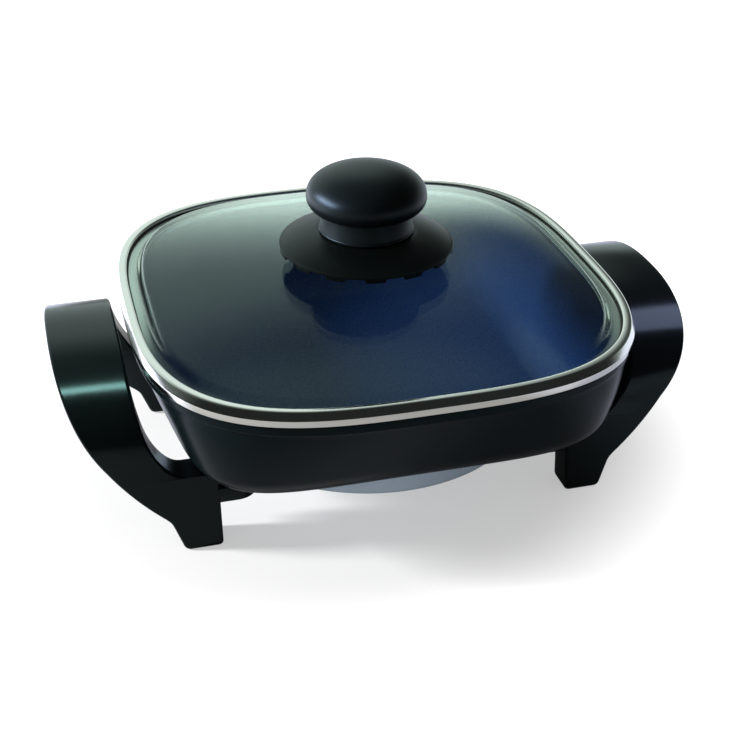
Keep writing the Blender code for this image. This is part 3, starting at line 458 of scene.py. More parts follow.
def black_phenolic(name="Black phenolic", grain=(1, 1, 1), gloss=0.12, level=0.2):
    """Satin moulded resin: near black, with a fine grain that breaks up its highlights."""
    made, m = material(name)
    colours = bpy.context.scene.skillet_finishes
    fine = m.noise(1500, grain, 4, 0.7)
    cloud = m.noise(60)
    shade = m.blend(cloud * 0.5, colours.phenolic, tinted(colours.phenolic, 1.5))
    rough = cloud * 0.05 + fine * 0.12 + (gloss - 0.03)
    m.finish(m.surface(Base_Color=shade, Roughness=rough, Specular_IOR_Level=level,
                       Specular_Tint=colours.sheen, Normal=m.bump(fine, 0.00001)))
    return made


def outer_coating():
    """Satin blue-black coating on the outside of the pan."""
    made, m = material("Outer coating")
    colours = bpy.context.scene.skillet_finishes
    fine = m.noise(3200, (1, 1, 1), 3, 0.6)
    cloud = m.noise(35)
    shade = m.blend(cloud * 0.6, colours.coating, tinted(colours.coating, 1.5))
    rough = cloud * 0.06 + fine * 0.08 + 0.18
    m.finish(m.surface(Base_Color=shade, Roughness=rough, Specular_IOR_Level=0.11,
                       Specular_Tint=colours.gleam, Normal=m.bump(fine, 0.00001)))
    return made


def lining():
    """Navy non-stick lining with fine pale specks."""
    made, m = material("Non-stick lining")
    colours = bpy.context.scene.skillet_finishes
    cells = m.node("ShaderNodeTexVoronoi", {"feature": "F1"},
                   {"Vector": m.place(), "Scale": 420.0, "Randomness": 1.0})
    specks = m.node("ShaderNodeMapRange", {}, {"Value": cells, 1: 0.16, 2: 0.08, 3: 0.0, 4: 1.0})
    cloud = m.noise(40)
    base = m.blend(cloud * 0.5, colours.lining, tinted(colours.lining, 1.4))
    shade = m.blend(specks * 0.35, base, colours.specks)
    fine = m.noise(1800)
    m.finish(m.surface(Base_Color=shade, Roughness=fine * 0.08 + 0.24, Specular_IOR_Level=0.2,
                       Normal=m.bump(fine, 0.00003)))
    return made


def polished_steel():
    """Polished stainless steel, with faint drawing lines along the rim."""
    made, m = material("Polished steel")
    colours = bpy.context.scene.skillet_finishes
    lines = m.noise(900, (1, 1, 12), 2)
    m.finish(m.surface(Base_Color=colours.rim, Metallic=1.0, Roughness=lines * 0.07 + 0.09,
                       Normal=m.bump(lines, 0.000006)))
    return made


def plain_steel():
    """Zinc-bright steel of the screws and washers."""
    made, m = material("Plain steel")
    grain = m.noise(700)
    shade = m.blend(grain, (0.50, 0.50, 0.49), (0.64, 0.64, 0.62))
    m.finish(m.surface(Base_Color=shade, Metallic=1.0, Roughness=grain * 0.15 + 0.25))
    return made


def cast_aluminium(name="Cast aluminium", streak=7.0):
    """Bare aluminium with the short streaks of a rough face."""
    made, m = material(name)
    colours = bpy.context.scene.skillet_finishes
    streaks = m.noise(900, (1, 1, streak), 4, 0.7)
    mottle = m.noise(380)
    shade = m.blend(streaks, tinted(colours.aluminium, 0.72), tinted(colours.aluminium, 1.25))
    m.finish(m.surface(Base_Color=shade, Metallic=0.3, Roughness=mottle * 0.15 + 0.42,
                       Normal=m.bump(streaks, 0.00012)))
    return made


def tempered_glass():
    """Clear green-tinted glass. Light goes straight through, and a slant mirrors far more.

    The flat border has a pale glare painted on it at a slant, as far out as the rim, standing
    in for the white seen through the glass there. Its place is (|x|^p + |y|^p)^(1/p).
    """
    made, m = material("Tempered glass")
    colours = bpy.context.scene.skillet_finishes
    power = bpy.context.scene.skillet_pan.mouth_power
    lid = bpy.context.scene.skillet_lid
    facing = m.node("ShaderNodeLayerWeight", {}, {"Blend": 0.5}, "Facing")
    smears = m.noise(14, (1, 3, 1))
    mirror = ((facing ** 9) * 8 + 0.012).clamp()
    clear = m.node("ShaderNodeBsdfTransparent", {}, (colours.glass,))
    shine = m.surface(Base_Color=(0.92, 1.0, 0.95), Metallic=1.0, Roughness=smears * 0.03 + 0.015)
    pane = m.node("ShaderNodeMixShader", {}, (mirror, clear, shine))
    where = m.axes(m.place())
    reach = (abs(where["X"]) ** power + abs(where["Y"]) ** power) ** (1 / power)
    border = spot("lid_glass", 1, 0) - lid.flange
    outside = m.ease(reach, border - 0.002, border + 0.001)
    # Painted glare: at a slant the border is mixed towards a pale shader, in place of light seen
    # through it.
    painted_glare = outside * m.ease(facing, 0.50, 0.545) * colours.painted_glare
    pale = m.surface(Base_Color=(0.70, 0.86, 0.77), Metallic=0.5, Roughness=0.22)
    m.finish(m.node("ShaderNodeMixShader", {}, (painted_glare, pane, pale)))
    return made


def plain_finish(name, shade, roughness, metallic=0.0):
    """A small part's finish, with a slight grain in its shade and gloss."""
    made, m = material(name)
    grain = m.noise(900)
    tint = m.blend(grain, tinted(shade, 0.8), tinted(shade, 1.2))
    m.finish(m.surface(Base_Color=tint, Metallic=metallic, Roughness=grain * 0.15 + roughness,
                       Normal=m.bump(grain, 0.00002)))
    return made


def add(name, data):
    """A new object in the scene."""
    item = bpy.data.objects.new(name, data)
    bpy.context.scene.collection.objects.link(item)
    return item


def stand(item, place, right, up, back):
    """Put a lamp or the camera at a place, with its own three axes."""
    turn = Matrix((right, up, back)).transposed()
    item.matrix_world = Matrix.Translation(place) @ turn.to_4x4()


def grid_piece(name, points, made, body, nodes=(), closed=False, caps=()):
    """A mesh from rows of points that each close round. Closed joins the last row to the first.

    A row that is named in caps, 0 or -1, is closed by one face. Rows that shrink to one point
    merge into a pole.
    """
    rows, count = points.shape[:2]
    i, j = np.meshgrid(np.arange(rows if closed else rows - 1), np.arange(count), indexing="ij")
    up, along = (i + 1) % rows, (j + 1) % count
    quads = np.stack([i * count + j, i * count + along, up * count + along, up * count + j], -1)
    faces = quads.reshape(-1, 4).tolist()
    for cap in caps:
        start = (rows - 1) * count if cap else 0
        faces.append(list(range(start, start + count)))
    mesh = bpy.data.meshes.new(name)
    mesh.from_pydata(points.reshape(-1, 3), [], faces)
    work = bmesh.new()
    work.from_mesh(mesh)
    bmesh.ops.remove_doubles(work, verts=work.verts, dist=1e-7)
    bmesh.ops.recalc_face_normals(work, faces=work.faces)
    work.to_mesh(mesh)
    work.free()
    return dress(name, mesh, made, body, nodes)


def dress(name, mesh, made, body, nodes):
    """An object from a finished mesh, smooth-shaded, on its body and in place of its nodes."""
    mesh.shade_smooth()
    mesh.set_sharp_from_angle(angle=SHARP)
    mesh.materials.append(made)
    item = add(name, mesh)
    if nodes:
        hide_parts(*nodes)
    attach(item, body)
    return item


def cut(item, cutters):
    """Cut closed meshes out of a piece for good."""
    for tool in cutters:
        other = add("cutter", tool)
        step = item.modifiers.new("Cut", "BOOLEAN")
        step.operation = "DIFFERENCE"
        step.solver = "EXACT"
        step.object = other
        graph = bpy.context.evaluated_depsgraph_get()
        mesh = bpy.data.meshes.new_from_object(item.evaluated_get(graph))
        item.modifiers.clear()
        item.data = mesh
        bpy.data.objects.remove(other)
    item.data.set_sharp_from_angle(angle=SHARP)
    return item


def box_mesh(low, high):
    """A closed box between two corners."""
    work = bmesh.new()
    bmesh.ops.create_cube(work, size=1)
    for vertex in work.verts:
        vertex.co = [high[k] if vertex.co[k] > 0 else low[k] for k in range(3)]
    mesh = bpy.data.meshes.new("box")
    work.to_mesh(mesh)
    work.free()
    return mesh


def drum_mesh(centre, radius, low, high):
    """A closed upright cylinder."""
    work = bmesh.new()
    place = Matrix.Translation((centre[0], centre[1], (low + high) / 2))
    bmesh.ops.create_cone(work, cap_ends=True, segments=SMALL, radius1=radius, radius2=radius,
                          depth=high - low, matrix=place)
    mesh = bpy.data.meshes.new("drum")
    work.to_mesh(mesh)
    work.free()
    return mesh


def bend(centre, radius, start, end, steps=8):
    """Points on a circle between two angles given in degrees."""
    a = np.radians(np.linspace(start, end, steps + 1))
    return np.stack([centre[0] + radius * np.cos(a), centre[1] + radius * np.sin(a)], -1)


def spread(profile, step):
    """The same profile with extra points, so that none lie further apart than a step."""
    profile = np.asarray(profile, float)
    parts = []
    for a, b in zip(profile[:-1], profile[1:]):
        count = max(int(math.ceil(np.linalg.norm(b - a) / step)), 1)
        parts.append(a + (b - a) * np.arange(count)[:, None] / count)
    return np.concatenate(parts + [profile[-1:]])


def turned_rows(profile, count=TURNED, centre=(0, 0)):
    """Rows of points where each (radius, z) of a profile is swept round an upright axis."""
    profile = np.asarray(profile, float)
    a = 2 * np.pi * np.arange(count) / count
    x = centre[0] + profile[:, :1] * np.cos(a)
    y = centre[1] + profile[:, :1] * np.sin(a)
    return np.stack([x, y, np.broadcast_to(profile[:, 1:], x.shape)], -1)


def square_rows(profile, powers):
    """Rows on |x|^p + |y|^p = half^p for each (half, z) of a profile and its own power p.

    The angle runs evenly and is drawn towards the corners by a sine of four times itself.
    """
    profile = np.asarray(profile, float)
    even = 2 * np.pi * np.arange(ROUND) / ROUND
    a = even + 0.45 / 4 * np.sin(4 * even)
    across, along = np.cos(a), np.sin(a)
    p = np.broadcast_to(np.asarray(powers, float), (len(profile),))[:, None]
    reach = profile[:, :1] / (np.abs(across) ** p + np.abs(along) ** p) ** (1 / p)
    x, y = reach * across, reach * along
    return np.stack([x, y, np.broadcast_to(profile[:, 1:], x.shape)], -1)


def pan_profiles(s):
    """(half width, z) up the outside of the pan, and down its inside from the lip."""
    lip_base = PAN_TOP - s.lip_height
    wall_top = LIP_HALF - s.lip_step
    centre_z = PAN_BASE + s.fillet
    tangent_z = centre_z - s.fillet * math.sin(s.taper)
    centre_x = (wall_top - (lip_base - tangent_z) * math.tan(s.taper)
                - s.fillet * math.cos(s.taper))
    lean = math.degrees(s.taper)
    edge = s.lip_edge
    outer = np.concatenate([
        [(0, PAN_BASE)], bend((centre_x, centre_z), s.fillet, -90, -lean, 24),
        bend((wall_top + edge, lip_base - edge), edge, 180 - lean, 90, 5),
        bend((LIP_HALF - edge, lip_base + edge), edge, -90, 0, 5),
        bend((LIP_HALF - edge, PAN_TOP - edge), edge, 0, 90, 5)])
    mouth = wall_top - s.wall / math.cos(s.taper)
    inner = np.concatenate([
        bend((mouth + edge, PAN_TOP - edge), edge, 90, 180, 5), [(mouth, lip_base)],
        bend((centre_x, centre_z), s.fillet - s.wall, -lean, -90, 24), [(0, PAN_BASE + s.wall)]])
    return spread(outer, STEP), spread(inner, STEP)


def pan_powers(profile, s):
    """Squareness of the pan at each height: squarer towards its bottom."""
    share = np.clip((profile[:, 1] - PAN_BASE) / (PAN_TOP - s.lip_height - PAN_BASE), 0, 1)
    return s.base_power + (s.mouth_power - s.base_power) * share


class SKILLET_OT_pan(bpy.types.Operator):
    """Cast pan with its outer coating and its non-stick lining"""
    bl_idname = "skillet.pan"
    bl_label = "Pan"

    def execute(self, context):
        s = context.scene.skillet_pan
        outer, inner = pan_profiles(s)
        profile = np.concatenate([outer, inner])
        rows = square_rows(profile, pan_powers(profile, s))
        pan = grid_piece("fine_pan", rows, outer_coating(), "base", ("pan",))
        pan.data.materials.append(lining())
        mouth = inner[0][0]
        places = np.zeros(len(pan.data.polygons) * 3, np.float32)
        normals = np.zeros_like(places)
        pan.data.polygons.foreach_get("center", places)
        pan.data.polygons.foreach_get("normal", normals)
        places, normals = places.reshape(-1, 3), normals.reshape(-1, 3)
        # The lining is on the floor and on faces that look inwards, not on the underside or lip.
        inward = (places[:, :2] * normals[:, :2]).sum(1) < 0
        floor = (normals[:, 2] > 0.9) & (places[:, 2] < PAN_TOP - s.lip_height)
        inside = (inward & (normals[:, 2] > -0.2)) | floor
        lip = np.abs(places[:, :2]).max(1) > mouth + s.lip_edge
        indices = np.where(inside & ~(lip & (places[:, 2] < PAN_TOP - s.lip_height / 2)), 1, 0)
        pan.data.polygons.foreach_set("material_index", indices.astype(np.int32))
        return {"FINISHED"}


def soft_max(a, b, blend):
    """The larger of two arrays, rounded over where they meet."""
    near = np.maximum(blend - np.abs(a - b), 0) / blend
    return np.maximum(a, b) + near ** 2 * blend / 4


def outer_edge(z, s):
    """X of the handle's outer edge at a height: the splayed foot, then a circle that bows out."""
    foot = s.foot_inner + s.foot_width
    start = foot + s.foot_splay
    line = foot + s.foot_splay * z / s.hook_start
    run, rise = HANDLE_REACH - start, HANDLE_TOP - s.hook_start
    half = math.hypot(run, rise) / 2
    radius = (half ** 2 + s.hook_bow ** 2) / (2 * s.hook_bow)
    back = (radius - s.hook_bow) / (2 * half)
    centre_x = start + run / 2 - rise * back
    centre_z = s.hook_start + rise / 2 + run * back
    circle = centre_x + np.sqrt(radius ** 2 - (z - centre_z) ** 2)
    return soft_max(line, circle, s.hook_blend)


def inner_edge(z, s):
    """X of the handle's inner edge: upright, a ledge with a round edge, then an ellipse."""
    ledge_x = s.foot_inner + s.ledge_width
    over = np.clip(z - (s.ledge - s.edge), 0, s.edge)
    upright = s.foot_inner + s.edge - np.sqrt(s.edge ** 2 - over ** 2)
    rise = np.clip((HANDLE_TOP - z) / (HANDLE_TOP - s.ledge), 0, 1)
    ellipse = ledge_x + (LIP_HALF + s.grip_gap - ledge_x) * np.sqrt(1 - rise ** 2)
    return np.where(z < s.ledge, upright, ellipse)


def handle_rows(side, s):
    """Rows of points round the handle's section, station by station along the arch.

    The outside of the arch is a leaning line and then |y/a|^p + |z/b|^p = 1, and the inside is
    the same with the thickness taken off. Each section is a quadrangle with rounded corners.
    """
    leg = np.concatenate([FOOT_EDGE[:, 0], np.linspace(STEP, s.ledge - s.edge, 26)[:-1],
                          s.ledge - s.edge * (1 - np.sin(np.linspace(0, np.pi / 2, 7))),
                          s.ledge + (s.spring - s.ledge) * np.linspace(0.02, 1, 9) ** 1.6])
    half = s.foot_half - s.lean * leg / s.spring
    squeeze = np.zeros_like(leg)
    squeeze[:len(FOOT_EDGE)] = FOOT_EDGE[:, 1]
    shoulder = s.foot_half - s.lean
    turn = np.pi * (1 - np.arange(1, CROWN_STEPS) / CROWN_STEPS)
    across = np.sign(np.cos(turn)) * np.abs(np.cos(turn)) ** (2 / s.crown_power)
    up = np.sin(turn) ** (2 / s.crown_power)
    rise = HANDLE_TOP - s.spring
    y_out = np.concatenate([-half, shoulder * across, half[::-1]])
    y_in = np.concatenate([s.leg - half, (shoulder - s.leg) * across, (half - s.leg)[::-1]])
    z_out = np.concatenate([leg, s.spring + rise * up, leg[::-1]])
    z_in = np.concatenate([leg, s.spring + (rise - s.crown) * up, leg[::-1]])
    squeeze = np.concatenate([squeeze, np.zeros(CROWN_STEPS - 1), squeeze[::-1]])
    toward = squeeze * np.sign(y_out)
    edges = [(inner_edge(z_out, s) + squeeze, y_out - toward, z_out),
             (outer_edge(z_out, s) - squeeze, y_out - toward, z_out),
             (outer_edge(z_in, s) - squeeze, y_in + toward, z_in),
             (inner_edge(z_in, s) + squeeze, y_in + toward, z_in)]
    corners = np.stack([np.stack([side * x, y + s.shift, z], -1) for x, y, z in edges], 1)
    before, after = np.roll(corners, 1, 1) - corners, np.roll(corners, -1, 1) - corners
    before /= np.linalg.norm(before, axis=-1, keepdims=True)
    after /= np.linalg.norm(after, axis=-1, keepdims=True)
    rows = []
    for k in range(4):
        for t in np.linspace(0, np.pi / 2, 7):
            rows.append(corners[:, k] + before[:, k] * s.edge * (1 - math.sin(t))
                        + after[:, k] * s.edge * (1 - math.cos(t)))
    return np.stack(rows, 1)


def tab_piece(name, x, y, side, made, s):
    """The tab under the pan: a half circle round its screw and two straight sides into the foot."""
    top = spot("handle_spacer_left_front", 0, 2) - GAP
    base, edge = top - s.tab_height, s.tab_edge
    rings = []
    for inset, z in ((edge, base), (edge * 0.3, base + edge * 0.3), (0, base + edge),
                     (0, top - edge), (edge * 0.3, top - edge * 0.3), (edge, top)):
        r = s.tab - inset
        ring = np.concatenate([bend((0, 0), r, 90, 270, 32), [(s.tab_tail, -r), (s.tab_tail, r)]])
        rings.append(np.column_stack([x + side * ring[:, 0], y + ring[:, 1],
                                      np.full(len(ring), z)]))
    tab = grid_piece(name, np.stack(rings), made, "base", caps=(0, -1))
    return cut(tab, [drum_mesh((x, y), s.tab_hole, base - PAST, top + PAST),
                     drum_mesh((x, y), s.tab_sink, base - PAST, base + s.sink_depth)])


class SKILLET_OT_handles(bpy.types.Operator):
    """Two arched handles with their feet, grip hollows and tabs under the pan"""
    bl_idname = "skillet.handles"
    bl_label = "Handles"

    def execute(self, context):
        s = context.scene.skillet_handles
        resin = black_phenolic("Handle phenolic", (1, 0.22, 0.22))
        middle = (LIP_HALF + s.grip_gap + HANDLE_REACH) / 2
        roof = HANDLE_TOP - s.pocket_roof
        for name, side in (("left_handle", -1), ("right_handle", 1)):
            rows = handle_rows(side, s)
            handle = grid_piece("fine_" + name, rows, resin, "base", (name,),
                                caps=(0, -1))
            hollows = []
            for i in (-1, 0, 1):
                x, y = side * middle, s.shift + i * (s.pocket + s.rib)
                hollows.append(box_mesh(
                    (x - s.pocket_half, y - s.pocket / 2, s.spring),
                    (x + s.pocket_half, y + s.pocket / 2, roof - abs(i) * s.pocket_fall)))
            cut(handle, hollows)
            for end in ("front", "rear"):
                x, y = middle_of("handle_screw_%s_%s" % (name.split("_")[0], end))
                tab_piece("fine_%s_tab_%s" % (name, end), x, y, side, resin, s)
        return {"FINISHED"}


class SKILLET_OT_rim(bpy.types.Operator):
    """Polished steel rim round the lid, with its rolled edge, and the seal under the glass"""
    bl_idname = "skillet.rim"
    bl_label = "Lid rim"

    def execute(self, context):
        s = context.scene.skillet_lid
        pan = context.scene.skillet_pan
        low, top = spot("rim_seal", 0, 2) - GAP - s.steel, PAN_TOP + GAP + s.band
        inside = LIP_HALF - pan.lip_step - pan.wall / math.cos(pan.taper) - s.corner
        lean, start, end = (math.degrees(a) for a in (s.slant, s.crown_start, s.crown_end))
        wall_top = low + s.steel + s.wall
        first = bend((RIM_HALF - s.bend, wall_top), s.bend, 0, lean, 5)
        shoulder_z = top - s.crown + (s.crown - s.shoulder) * math.sin(s.crown_start)
        rise = shoulder_z + s.shoulder * math.sin(s.slant) - first[-1][1]
        shoulder_x = first[-1][0] - rise * math.tan(s.slant) - s.shoulder * math.cos(s.slant)
        crown_x = shoulder_x - (s.crown - s.shoulder) * math.cos(s.crown_start)
        roll_x = crown_x + (s.crown - s.roll) * math.cos(s.crown_end)
        roll_z = top - s.crown + (s.crown - s.roll) * math.sin(s.crown_end)
        tongue = GLASS_BASE + s.border + GAP / 4
        profile = np.concatenate([
            bend((RIM_HALF - s.corner, low + s.corner), s.corner, -90, 0, 4), first,
            bend((shoulder_x, shoulder_z), s.shoulder, lean, start, 8),
            bend((crown_x, top - s.crown), s.crown, start, end, 8)[1:],
            bend((roll_x, roll_z), s.roll, end, 180, 6)[1:],
            [(roll_x - s.roll, tongue + s.seal_gap),
             (RIM_HALF - s.steel - s.inset, tongue + s.seal_gap),
             (RIM_HALF - s.steel, wall_top), (RIM_HALF - s.steel, low + s.steel),
             (inside - s.steel, low + s.steel), (inside - s.steel, PAN_TOP - s.lip),
             (inside, PAN_TOP - s.lip), (inside, low)]])
        rows = square_rows(profile, pan.mouth_power)
        grid_piece("fine_rim", rows, polished_steel(), "lid", ("lid_rim",),
                   closed=True)
        seal, base = s.seal, spot("rim_seal", 0, 2)
        outside, nose = spot("rim_seal", 1, 0) - seal, roll_x - s.roll - s.tongue
        strip = [(inside, base), (outside, base), (outside, tongue + seal),
                 (nose + seal / 2, tongue + seal), (nose, tongue), (outside - seal, tongue),
                 (outside - seal, base + seal), (inside, base + seal)]
        rubber = plain_finish("Silicone", context.scene.skillet_finishes.silicone, 0.5)
        grid_piece("fine_seal", square_rows(strip, pan.mouth_power), rubber, "lid",
                   ("rim_seal",), closed=True)
        return {"FINISHED"}


class SKILLET_OT_glass(bpy.types.Operator):
    """Tempered glass of the lid: flat border, soft slope and a shallow dome"""
    bl_idname = "skillet.glass"
    bl_label = "Lid glass"

    def execute(self, context):
        s = context.scene.skillet_lid
        power = context.scene.skillet_pan.mouth_power
        edge_half = spot("lid_glass", 1, 0)
        low = GLASS_BASE + s.border
        flat_end = edge_half - s.flange
        dome_half = flat_end - s.rise_width
        high = GLASS_BASE + s.glass + s.rise
        t = np.linspace(0, 1, 15)[1:]
        slope = np.stack([flat_end - s.rise_width * t,
                          low + (high - low) * (1 - np.cos(np.pi * t)) / 2], -1)
        share = np.linspace(1, s.hole / dome_half, 36)[1:]
        dome = np.stack([dome_half * share, high + (CROWN_Z - high) * (1 - share ** 2)], -1)
        half = s.border / 2
        edge = bend((edge_half - half, low - half), half, -90, 90, 8)[1:]
        flat = spread([(edge_half - half, low), (flat_end, low)], STEP / 2)[1:]
        top = np.concatenate([edge, flat, slope, dome])
        share = np.clip((flat_end - top[8:, 0]) / s.rise_width, 0, 1)
        thick = s.border + (s.glass - s.border) * share
        under = np.stack([top[8:, 0], top[8:, 1] - thick], -1)[::-1]
        profile = np.concatenate([top, under])
        powers = 2 + (power - 2) * np.clip(profile[:, 0] / dome_half, 0, 1)
        grid_piece("fine_glass", square_rows(profile, powers), tempered_glass(), "lid",
                   ("lid_glass",), closed=True)
        return {"FINISHED"}


def skirt_rows(s):
    """Rows of the skirt: a shallow cone with a thin rim whose underside drops at every tab.

    At an angle a tab is down where the place within one pitch is under a half, with steep sides.
    """
    count = s.tabs * TAB_POINTS
    a = 2 * np.pi * np.arange(count) / count
    place = ((a - s.tab_turn) % (2 * np.pi)) / (2 * np.pi) * s.tabs % 1
    down = ((place > 0.001) & (place < 0.499)).astype(float)
    flat = s.neck + s.flare * 2
    rim_z = SKIRT_TOP - s.fall
    share = np.linspace(0, 1, 13)[1:]
    sag = s.fall * share - s.crown * 4 * share * (1 - share)
    slope = np.stack([flat + (s.skirt - s.edge / 2 - flat) * share, SKIRT_TOP - sag], -1)
    upper = np.concatenate([[(s.hole, SKIRT_TOP), (flat, SKIRT_TOP)], slope,
                            bend((s.skirt - s.edge / 2, rim_z - s.edge / 2), s.edge / 2, 80, 0, 4)])
    inner = s.skirt - s.tab_depth
    under_z = SKIRT_TOP - s.sheet
    hub_base = spot("knob_skirt", 0, 2)
    floor_z = rim_z - s.edge
    middle = (flat + s.skirt) / 2
    edge_rows = [(s.skirt, floor_z, 0.0), (s.skirt, floor_z, 1.0), (inner, floor_z, 1.0),
                 (inner, floor_z, 0.0), (middle, under_z - s.fall / 2 + s.crown, 0.0),
                 (s.hub, under_z, 0.0), (s.hub, hub_base, 0.0), (s.hole, hub_base, 0.0)]
    profile = np.array([(r, z, 0.0) for r, z in upper] + edge_rows)
    x = profile[:, :1] * np.cos(a)
    y = profile[:, :1] * np.sin(a)
    z = profile[:, 1:2] - profile[:, 2:] * down * s.tab_drop
    return np.stack([x, y, z], -1)


class SKILLET_OT_knob(bpy.types.Operator):
    """Mushroom knob of the lid and the castellated skirt under it"""
    bl_idname = "skillet.knob"
    bl_label = "Knob"

    def execute(self, context):
        s = context.scene.skillet_knob
        resin = black_phenolic("Knob phenolic", (1, 1, 0.3), 0.30, 0.20)
        grid_piece("fine_skirt", skirt_rows(s), resin, "lid", ("knob_skirt",),
                   closed=True)
        base = spot("lid_knob", 0, 2)
        widest = KNOB_TOP - s.bulge
        t = np.linspace(0, np.pi / 2, 29)
        p = 2 / s.dome_power
        dome = np.stack([s.radius * np.sin(t) ** p, widest + s.bulge * np.cos(t) ** p], -1)
        t = np.linspace(0, np.pi / 2, 15)[1:]
        below = np.stack([s.neck + (s.radius - s.neck) * np.cos(t),
                          widest - s.undercut * np.sin(t)], -1)
        foot = s.neck + s.flare
        neck_low = base + s.bead * 2
        share = np.linspace(0, 1, 9)[1:]
        top = widest - s.undercut
        neck = np.stack([s.neck + s.flare * 0.7 * share ** 2, top + (neck_low - top) * share], -1)
        ring = bend((foot - s.bead, base + s.bead), s.bead, 70, -90, 8)
        wall, end = foot - s.wall, base + s.bore_depth
        hollow = [(wall, base), (wall - s.flare, top), (s.post, top), (s.post, base + GAP),
                  (s.bore, base + GAP), (s.bore, end), (0, end)]
        rows = turned_rows(np.concatenate([dome, below, neck, ring, hollow]))
        grid_piece("fine_knob", rows, resin, "lid", ("lid_knob",))
        return {"FINISHED"}


def screw_piece(node, made, s):
    """A pan-head screw with a cross recess, its head below and its shank up.

    The head bulges as (1 - cosine) over the sine of a quarter turn, and the thread is a zigzag.
    """
    low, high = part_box(node)
    x, y = middle_of(node)
    head = (high.x - low.x) / 2
    shank, body = (s.knob_shank, "lid") if "knob" in node else (s.shank, "base")
    seat = low.z + s.head
    t = np.linspace(0, 1, 7) * np.pi / 2
    cap = np.stack([head * np.sin(t) ** 0.8, low.z + s.head * 0.62 * (1 - np.cos(t))], -1)
    turns = np.arange(seat, high.z - s.pitch, s.pitch / 2)
    thread = np.stack([shank - (np.arange(len(turns)) % 2) * s.thread, turns], -1)
    profile = np.concatenate([cap, [(head, seat), (shank, seat)], thread,
                              [(shank * 0.7, high.z), (0, high.z)]])
    rows = turned_rows(profile, THREADED, (x, y))
    screw = grid_piece("fine_" + node, rows, made, body, (node,))
    arm, wide = head * s.cross, head * s.cross_arm
    return cut(screw, [box_mesh((x - ax, y - ay, low.z - PAST), (x + ax, y + ay, low.z + s.recess))
                       for ax, ay in ((arm, wide), (wide, arm))])


def ring_piece(node, made, body, axis=2):
    """A washer, bush or spacer with slightly rounded edges, in the place of its node."""
    low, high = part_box(node)
    thick = high[axis] - low[axis]
    across = (axis + 1) % 3
    outer = (high[across] - low[across]) / 2
    inner = ring_hole(node, axis)
    edge = min(thick, outer - inner) * 0.22
    profile = np.concatenate([
        bend((inner + edge, edge), edge, 180, 270, 4), bend((outer - edge, edge), edge, -90, 0, 4),
        bend((outer - edge, thick - edge), edge, 0, 90, 4),
        bend((inner + edge, thick - edge), edge, 90, 180, 4)])
    rows = turned_rows(profile, SMALL)
    middle = [(low[k] + high[k]) / 2 for k in range(3)]
    middle[axis] = low[axis]
    if axis == 0:
        rows = rows[..., [2, 0, 1]]
    return grid_piece("fine_" + node, rows + np.array(middle), made, body, (node,),
                      closed=True)


def ring_hole(node, axis):
    """The radius of a ring's hole: how near its points come to its axis."""
    points = np.array([v.co for v in NODES[node].data.vertices])
    low, high = points.min(0), points.max(0)
    flat = np.delete(points - (low + high) / 2, axis, 1)
    return float(np.linalg.norm(flat, axis=1).min())


class SKILLET_OT_fixings(bpy.types.Operator):
    """Screws, washers, spacers and seals of the handles, the cover and the knob"""
    bl_idname = "skillet.fixings"
    bl_label = "Fixings"

    def execute(self, context):
        colours = context.scene.skillet_finishes
        steel = plain_steel()
        mica = plain_finish("Mica", colours.mica, 0.45)
        rubber = plain_finish("Seal silicone", colours.silicone, 0.5)
        brass = plain_finish("Brass", colours.brass, 0.22, 1.0)
        for node in sorted(NODES):
            if "screw" in node:
                screw_piece(node, steel, context.scene.skillet_fixings)
            elif node.startswith("handle_washer"):
                ring_piece(node, steel, "base")
            elif node.startswith("handle_spacer"):
                ring_piece(node, mica, "base")
            elif node.startswith("knob_seal"):
                ring_piece(node, rubber, "lid")
        ring_piece("knob_washer", steel, "lid")
        ring_piece("knob_insert", brass, "lid")
        return {"FINISHED"}


class SKILLET_OT_heater(bpy.types.Operator):
    """Round dish under the heater, with its screw holes and the notch for the socket"""
    bl_idname = "skillet.heater"
    bl_label = "Heater"

    def execute(self, context):
        s = context.scene.skillet_heater
        radius = max(spot("heat_cover", 1, 0), -spot("heat_cover", 0, 0))
        top = spot("heat_cover", 1, 2)
        centre = (radius - s.fillet, COVER_BASE + s.fillet)
        outer = np.concatenate([[(0, COVER_BASE)], bend(centre, s.fillet, -90, 0, 8),
                                [(radius, top)]])
        inner = np.concatenate([[(radius - s.sheet, top)],
                                bend(centre, s.fillet - s.sheet, 0, -90, 8),
                                [(0, COVER_BASE + s.sheet)]])
        profile = np.concatenate([spread(outer, STEP), spread(inner, STEP)])
        cover = grid_piece("fine_cover", turned_rows(profile), cast_aluminium(), "base",
                           ("heat_cover",))
        notch_base = spot("ceramic_bush_front", 0, 2) - GAP
        holes = [box_mesh((spot("heater_plate", 1, 0), -s.notch, notch_base),
                          (radius + PAST, s.notch, top + PAST))]
        for i in (1, 2, 3):
            holes.append(drum_mesh(middle_of("cover_screw_%d" % i), s.hole, COVER_BASE - PAST,
                                   COVER_BASE + s.sheet + PAST))
        cut(cover, holes)
        return {"FINISHED"}


class SKILLET_OT_socket(bpy.types.Operator):
    """Finishes of the socket for the heat control, of the heating tube and of its plate"""
    bl_idname = "skillet.socket"
    bl_label = "Socket"

    def execute(self, context):
        colours = context.scene.skillet_finishes
        resin = black_phenolic("Socket phenolic")
        steel = plain_steel()
        ceramic = plain_finish("Ceramic", colours.ceramic, 0.3)
        sheath = plain_finish("Heater sheath", colours.sheath, 0.4, 1.0)
        plate = cast_aluminium("Plate aluminium", 1.0)
        finishes = {"terminal_guard": resin, "terminal_pin_front": steel, "probe_sleeve": steel,
                    "terminal_pin_rear": steel, "heating_element": sheath, "heater_plate": plate}
        for node, made in finishes.items():
            NODES[node].data.materials.clear()
            NODES[node].data.materials.append(made)
        for node in ("ceramic_bush_front", "ceramic_bush_rear"):
            ring_piece(node, ceramic, "base", 0)
        return {"FINISHED"}


